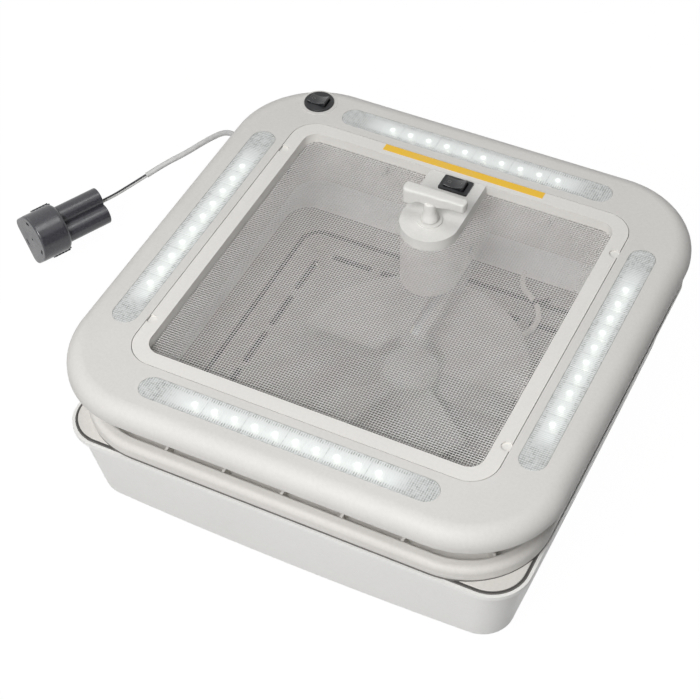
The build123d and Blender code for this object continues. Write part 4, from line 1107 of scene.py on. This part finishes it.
# ---------------------------------------------------------------- leads
@dataclass
class Leads:
    """Battery lead, its two cores, the gland's boot and the fan's lead."""

    finishes: Finishes
    sheath_radius: float = 0.0022
    core_radius: float = 0.0008
    core_spacing: float = 0.0010
    fan_radius: float = 0.0021
    round_steps: int = 6
    run_steps: int = 12
    sheath_route: Route = (
        (-0.145, 0.108, 0.103), (-0.163, 0.108, 0.103), (-0.184, 0.121, 0.1055),
        (-0.205, 0.1355, 0.0945), (-0.226, 0.139, 0.0750), (-0.246, 0.1355, 0.056),
        (-0.262, 0.127, 0.0455), (-0.2733, 0.1151, 0.038))
    core_route: Route = (
        (-0.2733, 0.1151, 0.038), (-0.2789, 0.1092, 0.0343), (-0.2852, 0.099, 0.0316),
        (-0.290, 0.0879, 0.031), (-0.2955, 0.0772, 0.031))
    fan_route: Route = (
        (0.044, 0.1574, 0.0226), (0.0465, 0.142, 0.024), (0.0595, 0.1325, 0.0251),
        (0.0715, 0.121, 0.0252), (0.0745, 0.106, 0.0234), (0.066, 0.090, 0.0225),
        (0.054, 0.074, 0.0225), (0.044, 0.057, 0.0225), (0.038, 0.041, 0.0225),
        (0.0281, 0.0282, 0.0225))
    pack_nodes: tuple[str, ...] = (
        "battery_base", "battery_stem", "battery_cells", "battery_contacts",
        "battery_latch_left", "battery_latch_right")
    boot_place: Point = (-0.1385, 0.108, 0.103)
    boot_head: Profile = (
        (0.0000, 0.0030), (0.0044, 0.0030), (0.0044, 0.0), (0.0065, 0.0), (0.0065, -0.0022),
        (0.0050, -0.0030))
    boot_tip: Profile = ((0.0028, -0.0195), (0.0023, -0.0198), (0.0, -0.0198))
    ribs: int = 5
    rib_start: float = -0.0042
    rib_pitch: float = 0.0029
    rib_radius: float = 0.0049
    rib_taper: float = 0.00036
    rib_depth: float = 0.0009

    def cord(self, name: str, route: Sequence[Point], radius: float) -> Piece:
        """A round cord on one smooth spline whose control points are the route.

        Args:
            name: The piece's name.
            route: Control points, in metres.
            radius: The cord's radius.

        Returns:
            The curve object.
        """
        data = bpy.data.curves.new(name, "CURVE")
        data.dimensions = "3D"
        data.bevel_depth = radius
        data.bevel_resolution = self.round_steps
        data.resolution_u = self.run_steps
        data.use_fill_caps = True
        spline = data.splines.new("NURBS")
        spline.points.add(len(route) - 1)
        spline.points.foreach_set("co", np.c_[np.array(route), np.ones(len(route))].ravel())
        spline.order_u = 3
        spline.use_endpoint_u = True
        return placed(name, data)

    def battery_lead(self) -> None:
        """The sheath from the gland, and the two cores from its end to the pack.
        """
        sheath = self.cord("power_sheath", self.sheath_route, self.sheath_radius)
        fit(sheath, self.finishes.jacket, "frame", "power_lead")
        along = Vector(self.core_route[-1]) - Vector(self.core_route[-2])
        side = along.cross(Vector((0, 0, 1))).normalized() * self.core_spacing
        for sign, finish, label in ((-1, self.finishes.core_pale, "pale"),
                                    (1, self.finishes.core_dark, "dark")):
            route = [tuple(Vector(point) + side * sign) for point in self.core_route]
            core = self.cord("lead_core_" + label, route, self.core_radius)
            fit(core, finish, "frame", "lead_cores")

    def fan_lead(self) -> None:
        """The motor's lead along the liner."""
        lead = self.cord("motor_lead", self.fan_route, self.fan_radius)
        fit(lead, self.finishes.inner_jacket, "lid", "fan_lead")

    def gland_boot(self) -> None:
        """Ribbed, tapered boot round the lead where it leaves the neck."""
        corners = list(self.boot_head)
        for rib in range(self.ribs):
            height = self.rib_start - self.rib_pitch * rib
            radius = self.rib_radius - self.rib_taper * rib
            inner = radius - self.rib_depth
            corners += [(radius, height), (radius, height - 0.0013), (inner, height - 0.0016),
                        (inner, height - 0.0027)]
        profile = rounded_profile([*corners, *self.boot_tip], 0.0003, 3)[::-1]
        shape = Shape().add(*revolve(profile, 28, self.boot_place, (1, 0, 0)))
        fit(shape.build("gland_boot"), self.finishes.boot, "frame", "cord_gland")

    def build(self, frame: dict) -> None:
        """Makes every lead.

        Args:
            frame: The loaded model; not used.
        """
        self.battery_lead()
        self.fan_lead()
        self.gland_boot()
        LOG.info("leads, gland boot")


# ---------------------------------------------------------------- rings
@dataclass
class SquareRing:
    """Flat ring on a rounded square, as the flange's plate, its sealing strip or a seal's lip; the
    dark strip and lip also stand in as painted shadow lines.
    """

    name: str
    finish: Finish
    body: str
    slot: str
    half: float
    corner: float
    width: float
    low: float
    high: float
    edge: float = 0.0002
    steps: int = 16

    def build(self) -> None:
        """Carries the ring's section round a rounded square.

        A point of the section at offset o and height z goes to (centre of the corner's arc) +
        (corner + o) x (cosine, sine), so straight runs join the four arcs.
        """
        section = np.array([(0.0, self.low + self.edge), (-self.edge, self.low),
                            (-self.width, self.low), (-self.width, self.high),
                            (-self.edge, self.high), (0.0, self.high - self.edge)])
        arc = np.linspace(0, np.pi / 2, self.steps)
        turn = np.concatenate([arc + quarter * np.pi / 2 for quarter in range(4)])
        diagonal = np.repeat(np.arange(4), self.steps) * np.pi / 2 + np.pi / 4
        core = (self.half - self.corner) * np.sqrt(2)
        reach = self.corner + section[:, 0]
        x = core * np.cos(diagonal)[:, None] + np.cos(turn)[:, None] * reach
        y = core * np.sin(diagonal)[:, None] + np.sin(turn)[:, None] * reach
        z = np.broadcast_to(section[:, 1], x.shape)
        points = np.stack([x, y, z], axis=-1)
        faces = grid_faces(len(turn), len(section), close_rows=True, close_columns=True)
        ring = Shape().add(points, faces).build(self.name, smooth=False)
        fit(ring, self.finish, self.body)
        LOG.info("%s", self.name)


# ---------------------------------------------------------------- fly screen
@dataclass
class FlyScreen:
    """Woven net in the screen frame, cut out round the operator."""

    finishes: Finishes
    half: float = 0.1244
    wires: int = 128
    wire_radius: float = 0.00029
    weave: float = 0.00026
    level: float = 0.1255
    cut_half: float = 0.0221

    def one_way(self, across: bool) -> tuple[Array, Array]:
        """All wires of one direction.

        A wire's line is level + weave x cosine of pi (wire + crossing), with the opposite sign
        for the other direction, and three points stand round it at the wire's radius.

        Args:
            across: Whether the wires run along X instead of Y.

        Returns:
            Points and quads, without those inside the cut-out.
        """
        place = np.linspace(-self.half, self.half, self.wires + 1)
        place = (place[:-1] + place[1:]) / 2
        count = np.arange(self.wires)
        wire, crossing = np.meshgrid(count, count, indexing="ij")
        sign = 1.0 if across else -1.0
        height = self.level + sign * self.weave * np.cos(np.pi * (wire + crossing))
        turn = np.array([np.pi / 2, 7 * np.pi / 6, 11 * np.pi / 6])
        side = place[wire][..., None] + self.wire_radius * np.cos(turn)
        run = np.broadcast_to(place[crossing][..., None], side.shape)
        up = height[..., None] + self.wire_radius * np.sin(turn)
        points = np.stack([run, side, up] if across else [side, run, up], axis=-1)
        points = points.reshape(-1, 3)
        one = grid_faces(self.wires, len(turn), close_columns=True)
        quads = np.concatenate([one + len(turn) * self.wires * w for w in count])
        if across:
            quads = quads[:, ::-1]
        x, y = points[quads].mean(axis=1)[:, :2].T
        beside = (np.abs(x) < self.cut_half) & (y > CRANK_Y)
        in_round = np.hypot(x, y - CRANK_Y) < self.cut_half
        return points, quads[~(beside | in_round)]

    def build(self) -> None:
        """Both directions as one piece, stretched in the screen frame."""
        shape = Shape()
        for across in (False, True):
            shape.add(*self.one_way(across))
        net = shape.build("woven_net")
        fit(net, self.finishes.wire, "frame", "fly_screen")
        LOG.info("fly screen")


# ---------------------------------------------------------------- light bars
@dataclass
class LightBar:
    """One light bar: ribbed lens, board with small parts, and ten lit diodes."""

    finishes: Finishes
    side: Side
    length: float = 0.217
    width: float = 0.0188
    top: float = 0.134
    lens_depth: float = 0.0020
    lens_rows: int = 52
    lens_columns: int = 580
    prism: float = 0.0015
    prism_depth: float = 0.00022
    rim_width: float = 0.0012
    groove_width: float = 0.0005
    groove_depth: float = 0.00025
    diodes: int = 10
    board_low: float = 0.126
    board_high: float = 0.1272
    board_half: Pair = (0.0995, 0.0050)
    part_half: Pair = (0.0010, 0.0006)
    part_place: float = 0.0032
    part_height: float = 0.0007
    driver_half: Pair = (0.0017, 0.0012)
    driver_inset: float = 0.0150
    driver_height: float = 0.0010
    joint_inset: float = 0.0045
    joint_place: float = 0.0021
    diode_lift: float = 0.0002
    diode_dome: Profile = (
        (0.0023, 0.0), (0.0023, 0.0005), (0.0021, 0.0010), (0.0016, 0.0014), (0.0009, 0.0017),
        (0.0, 0.0018))
    joint_dome: Profile = (
        (0.0010, 0.0), (0.0009, 0.0004), (0.0006, 0.0007), (0.0003, 0.0009), (0.0, 0.00095))

    def relief(self, x: Array, y: Array) -> Array:
        """Depth below the lens's top: small pyramids, and a groove across every second diode.

        The pyramid is the larger of two triangle waves; the groove is a narrow dip.

        Args:
            x: Places along the bar.
            y: Places across it.

        Returns:
            Depths in metres.
        """
        waves = [2 * np.abs(v / self.prism - np.floor(v / self.prism) - 0.5) for v in (x, y)]
        pyramids = self.prism_depth * np.maximum(waves[0], 0.7 * waves[1])
        cells = np.abs((x / (2 * DIODE_PITCH)) % 1.0 - 0.5) * 2 * DIODE_PITCH * 2
        rim = np.clip(1.0 - (self.width / 2 - np.abs(y)) / self.rim_width, 0.0, 1.0)
        groove = self.groove_depth * np.exp(-(cells / self.groove_width) ** 2)
        return pyramids * (1 - rim) + groove

    def lens(self) -> Piece:
        """Slot-shaped cover: relief on top, plain sides and a plain underside.

        A row at y reaches length / 2 - radius + the root of radius^2 - y^2 to both sides.

        Returns:
            The piece.
        """
        rows, columns = self.lens_rows, self.lens_columns
        t = 0.5 * np.sin(np.linspace(-np.pi / 2, np.pi / 2, rows)) + 0.5 * np.linspace(-1, 1, rows)
        radius = self.width / 2
        y = radius * t * 0.9999
        reach = self.length / 2 - radius + np.sqrt(np.maximum(radius ** 2 - y ** 2, 0.0))
        x_grid = reach[:, None] * np.linspace(-1, 1, columns)[None]
        y_grid = np.broadcast_to(y[:, None], x_grid.shape)
        z_grid = self.top - self.relief(x_grid, y_grid)
        grid = np.stack([x_grid, y_grid - BAR_OFFSET, z_grid], axis=-1).reshape(-1, 3)
        edge = np.concatenate([np.arange(columns), np.arange(1, rows) * columns + columns - 1,
                               (rows - 1) * columns + np.arange(columns - 2, -1, -1),
                               np.arange(rows - 2, 0, -1) * columns])
        low = grid[edge].copy()
        low[:, 2] = self.top - self.lens_depth
        here = np.arange(len(edge))
        after = (here + 1) % len(edge)
        base = len(grid)
        sides = np.stack([edge[here], base + here, base + after, edge[after]], axis=1)
        faces = [*grid_faces(rows, columns), *sides, base + here[::-1]]
        shape = Shape().add(np.concatenate([grid, low]), faces)
        return shape.build("lens_" + self.side.label, move=self.side.turned)

    def board(self) -> Piece:
        """Circuit board with two small parts beside each diode.

        Returns:
            The piece.
        """
        shape = Shape()
        y, high = -BAR_OFFSET, self.board_high
        reach, half = self.board_half
        part_x, part_y = self.part_half
        shape.add_box((-reach, y - half, self.board_low), (reach, y + half, high))
        for x in self.places():
            for side in (-1, 1):
                middle, edge = x + DIODE_PITCH / 2, y + side * self.part_place
                shape.add_box((middle - part_x, edge - part_y, high),
                              (middle + part_x, edge + part_y, high + self.part_height))
        return shape.build("board_" + self.side.label, smooth=False, move=self.side.turned)

    def places(self) -> Array:
        """Where the diodes stand along the bar."""
        return (np.arange(self.diodes) - (self.diodes - 1) / 2) * DIODE_PITCH

    def lamps(self, shape: Shape) -> None:
        """Adds the diodes: square packages with a domed phosphor.

        Args:
            shape: The shape that takes them.
        """
        for x in self.places():
            place = (x, -BAR_OFFSET, self.board_high + self.diode_lift)
            points, quads = revolve(np.array(self.diode_dome), 16, place)
            shape.add(self.side.turned(points), quads)

    def chips(self, shape: Shape) -> None:
        """Adds the dark driver parts and lead joints near both ends of the board.

        Args:
            shape: The shape that takes them.
        """
        y, high = -BAR_OFFSET, self.board_high
        half_x, half_y = self.driver_half
        for end in (-1, 1):
            far = end * (self.board_half[0] - self.joint_inset)
            near = end * (self.board_half[0] - self.driver_inset)
            part = Shape().add_box((near - half_x, y - half_y, high),
                                   (near + half_x, y + half_y, high + self.driver_height))
            for side in (-1, 1):
                joint = (far, y + side * self.joint_place, high)
                part.add(*revolve(np.array(self.joint_dome), 12, joint))
            shape.add(self.side.turned(np.concatenate(part.points)), part.faces)

    def build(self, lamps: Shape, chips: Shape) -> None:
        """Makes the lens and the board, and adds the small parts to the shared shapes.

        Args:
            lamps: The shape that takes the diodes.
            chips: The shape that takes the dark parts.
        """
        label, along = self.side.label, self.side.value % 2
        lit = LitBoard("lit_board_" + ("x", "y")[along], along)
        fit(self.lens(), self.finishes.lens, "frame", "led_lens_" + label)
        fit(self.board(), lit, "frame", "led_board_" + label)
        self.lamps(lamps)
        self.chips(chips)
        LOG.info("light bar %s", label)


@dataclass
class Lighting:
    """The four light bars."""

    finishes: Finishes

    def build(self) -> None:
        """Makes the four bars, their diodes as one piece and their dark parts as another."""
        lamps, chips = Shape(), Shape()
        for side in Side:
            LightBar(self.finishes, side).build(lamps, chips)
        fit(chips.build("board_chips", smooth=False), self.finishes.chip_dark, "frame")
        fit(lamps.build("diode_domes"), self.finishes.diode, "frame", "led_diodes")


# ---------------------------------------------------------------- operator and switches
@dataclass
class CrankHandle:
    """T-shaped handle on a flared stem."""

    finishes: Finishes
    left: float = -0.02125
    right: float = 0.02725
    low: float = 0.1500
    high: float = 0.160
    half_width: float = 0.0050
    shift: float = 0.0022
    rounding: float = 0.0022
    squareness: float = 0.35
    fall_place: Pair = (-0.008, 0.009)
    fall_drop: float = 0.0045
    fall_widening: float = 0.06
    rise_place: Pair = (0.006, 0.010)
    rise_lift: float = 0.0020
    rise_narrowing: float = 0.18
    waist: float = 0.08
    waist_reach: float = 0.009
    end_height: float = 0.82
    columns: int = 44
    round_points: int = 40
    stem: Profile = (
        (0.0, 0.1362), (0.0067, 0.1362), (0.0063, 0.1390), (0.0051, 0.1422), (0.0047, 0.146),
        (0.0046, 0.152), (0.0, 0.152))

    def bar(self) -> tuple[Array, Array]:
        """The handle as super-ellipse sections along X.

        A section point is (half width x |cos|^0.35, half height x |sin|^0.35) with their signs;
        both sizes shrink to nothing over the last millimetres as a quarter ellipse does, and
        the left end hangs lower and the right end is slimmer, both as smooth steps.

        Returns:
            Points and quads.
        """
        u = 0.5 * (1 - np.cos(np.pi * np.linspace(0, 1, self.columns)))
        x = self.left + (self.right - self.left) * u
        end = np.minimum(x - self.left, self.right - x)
        taper = np.sqrt(np.clip(1 - (1 - np.clip(end / self.rounding, 0, 1)) ** 2, 0, 1))
        fall = smooth_step((self.fall_place[0] - x) / self.fall_place[1])
        rise = smooth_step((x - self.rise_place[0]) / self.rise_place[1])
        low = self.low - self.fall_drop * fall + self.rise_lift * rise
        half_height = (self.high - low) / 2
        middle = (self.high + low) / 2
        waist = self.waist * np.exp(-(x / self.waist_reach) ** 2)
        half_width = self.half_width * (1 + self.fall_widening * fall
                                        - self.rise_narrowing * rise - waist)
        v = np.linspace(0, 2 * np.pi, self.round_points, endpoint=False)
        wide, tall = (np.sign(way) * np.abs(way) ** self.squareness
                      for way in (np.cos(v), np.sin(v)))
        height = self.end_height + (1 - self.end_height) * taper
        y = CRANK_Y + self.shift + (half_width * taper)[:, None] * wide
        z = middle[:, None] + (half_height * height * np.where(taper > 0, 1, 0))[:, None] * tall
        z[0], z[-1] = middle[0], middle[-1]
        points = np.stack([np.broadcast_to(x[:, None], y.shape), y, z], axis=-1)
        return points, grid_faces(len(x), len(v), close_columns=True)

    def build(self) -> None:
        """Bar and stem as one piece."""
        shape = Shape().add(*self.bar())
        shape.add(*revolve(rounded_profile(self.stem, 0.0008), 40, (0.0, CRANK_Y, 0.0)))
        handle = shape.build("crank_handle")
        fit(handle, self.finishes.operator_white, "crank", "crank_knob")
        LOG.info("crank handle")


@dataclass
class Rocker:
    """Switch rocker with a hollow top, tipped to its off side, and its two marks."""

    finishes: Finishes
    name: str
    centre: Pair
    length: float
    width: float
    seat: float
    proud: float = 0.0026
    depth: float = 0.0045
    drop: float = 0.0015
    tilt: float = np.radians(7.0)
    edge: float = 0.0004
    mark_place: float = 0.3
    mark_rise: float = 0.00006
    line_half: Pair = (0.00028, 0.0013)
    ring_radii: Pair = (0.0010, 0.0014)

    def tipped(self, points: Array) -> Array:
        """Points of the level rocker, tipped about its pivot and put in place.

        Args:
            points: Points round the rocker's middle, with z from its seat.

        Returns:
            Points in the fixed frame.
        """
        x, y, z = points[:, 0], points[:, 1], points[:, 2] + self.drop
        c, s = np.cos(-self.tilt), np.sin(-self.tilt)
        turned = np.stack([c * x + s * z, y, -s * x + c * z], axis=1)
        return turned + np.array([*self.centre, self.seat - self.drop])

    def top(self, x: Array) -> Array:
        """Height of the hollow top: proud at both ends, a third of it in the middle."""
        share = np.clip(np.abs(x) / (self.length / 2), 0, 1)
        return self.proud * (1 / 3 + 2 / 3 * share ** 1.6)

    def cap(self) -> Piece:
        """The rocker: hollow top above a wedge-shaped skirt, with soft edges.

        Its outline in X and Z is carried from one side to the other.

        Returns:
            The piece.
        """
        half = self.length / 2
        x = np.linspace(-half, half, 25)
        upper = np.stack([x, self.top(x)], axis=1)
        lower = [(half, -self.depth / 2), (0.0, -self.depth), (-half, -self.depth / 2)]
        outline = np.concatenate([upper, lower])
        count = len(outline)
        near = np.stack([outline[:, 0], np.full(count, -self.width / 2), outline[:, 1]], axis=1)
        far = near * np.array([1.0, -1.0, 1.0])
        here = np.arange(count)
        faces = [*grid_faces(2, count, close_columns=True), here[::-1], count + here]
        shape = Shape().add(np.concatenate([near, far]), faces)
        piece = shape.build(self.name + "_cap", smooth=True, move=self.tipped)
        bevel = piece.modifiers.new("edges", "BEVEL")
        bevel.width = self.edge
        bevel.segments = 2
        bevel.limit_method = "ANGLE"
        bevel.angle_limit = np.radians(50)
        return piece

    def marks(self) -> Piece:
        """A line at one end and a ring at the other, printed on the top.

        Returns:
            The piece.
        """
        place = self.mark_place * self.length
        signs = np.array([(-1.0, -1.0), (1.0, -1.0), (1.0, 1.0), (-1.0, 1.0)])
        line = np.array([place, 0.0]) + signs * self.line_half
        turn = np.linspace(0, 2 * np.pi, 24, endpoint=False)
        ring = np.concatenate([np.stack([-place + radius * np.cos(turn), radius * np.sin(turn)],
                                        axis=1) for radius in self.ring_radii])
        ring_faces = grid_faces(2, len(turn), close_columns=True)[:, ::-1]
        shape = Shape()
        for flat, faces in ((line, [(0, 1, 2, 3)]), (ring, ring_faces)):
            shape.add(np.c_[flat, self.top(flat[:, 0]) + self.mark_rise], faces)
        return shape.build(self.name + "_marks", smooth=False, move=self.tipped)

    def build(self) -> None:
        """Makes the cap and its marks, on the body that has the rocker's name."""
        fit(self.cap(), self.finishes.switch_black, self.name, self.name)
        fit(self.marks(), self.finishes.mark_grey, self.name)
        LOG.info("rocker %s", self.name)


# ---------------------------------------------------------------- carried-over nodes
NODE_FINISHES = {
    "trim_white": "inner_trim",
    "border_white": "screen_frame",
    "operator_white": "operator_cover",
    "cowl_in_shade": "slide_track fan_cowl",
    "lid_white": "lid_shell",
    "liner_in_shade": "lid_liner",
    "seal": "lid_seal",
    "nylon": "worm gear_sector lift_bushes arm_glide",
    "steel": "hinge_pins lift_shaft lift_arm crank_shaft fan_shaft",
    "clip_grey": "screen_clips",
    "zinc": "trim_screws liner_screws housing_screws track_screws hub_screws",
    "switch_satin": "fan_switch_body light_switch_body",
    "fan_grey": "fan_impeller",
    "hub_grey": "hub_cap",
    "motor_black": "fan_motor",
    "tie_dark": "lead_tie",
    "boot": "cord_gland",
    "label": "label_strip",
    "pack_grey": "battery_base battery_stem",
    "pack_latch": "battery_latch_left battery_latch_right",
    "cell_wrap": "battery_cells",
    "copper": "battery_contacts",
    "switch_black": "fan_rocker light_rocker",
    "jacket": "power_lead fan_lead",
    "core_dark": "lead_cores",
    "wire": "fly_screen",
    "lens": "led_lens_front led_lens_right led_lens_back led_lens_left",
    "diode": "led_diodes",
}


@dataclass
class CarriedNodes:
    """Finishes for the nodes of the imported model, also for those behind new pieces."""

    finishes: Finishes

    def build(self, frame: dict) -> None:
        """Puts each finish on its nodes; what isn't in the table gets the frame's white.

        Args:
            frame: The loaded model.
        """
        named = {node: name for name, nodes in NODE_FINISHES.items() for node in nodes.split()}
        for node, piece in frame["nodes"].items():
            getattr(self.finishes, named.get(node, "frame_white")).dress(piece)
        LOG.info("finishes on %d nodes", len(frame["nodes"]))


def main() -> None:
    """Builds the studio, the leads and every sub-assembly in order, and logs their names."""
    logging.basicConfig(level=logging.INFO, format="%(message)s")
    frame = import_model()
    finishes = Finishes()
    Studio().build()
    Leads(finishes).build(frame)
    SquareRing("flange_plate", finishes.frame_white, "frame", "frame_plastic", half=0.1668,
               corner=0.0238, width=0.0168, low=0.07485, high=0.0756).build()
    # sealing strip under the bead, dark rubber that also stands in as painted shadow in the gap
    SquareRing("flange_strip_and_shadow", finishes.seal, "frame", "rubber", half=0.1704, corner=0.0594,
               width=0.0044, low=0.0749, high=0.0763).build()
    # seal lip on the lid's rim, dark rubber that also stands in as painted shadow beside the
    # plate's edge
    SquareRing("seal_lip_and_shadow", finishes.seal, "lid", "rubber", half=0.1688, corner=0.0258,
               width=0.0014, low=0.0739, high=0.0747).build()
    FlyScreen(finishes).build()
    Lighting(finishes).build()
    CrankHandle(finishes).build()
    Rocker(finishes, "fan_rocker", (0.002, 0.113), length=0.0156, width=0.0096,
           seat=0.1356).build()
    Rocker(finishes, "light_rocker", (-0.1315, 0.155), length=0.0144, width=0.0094,
           seat=0.1360).build()
    CarriedNodes(finishes).build(frame)


if __name__ == "__main__":
    main()
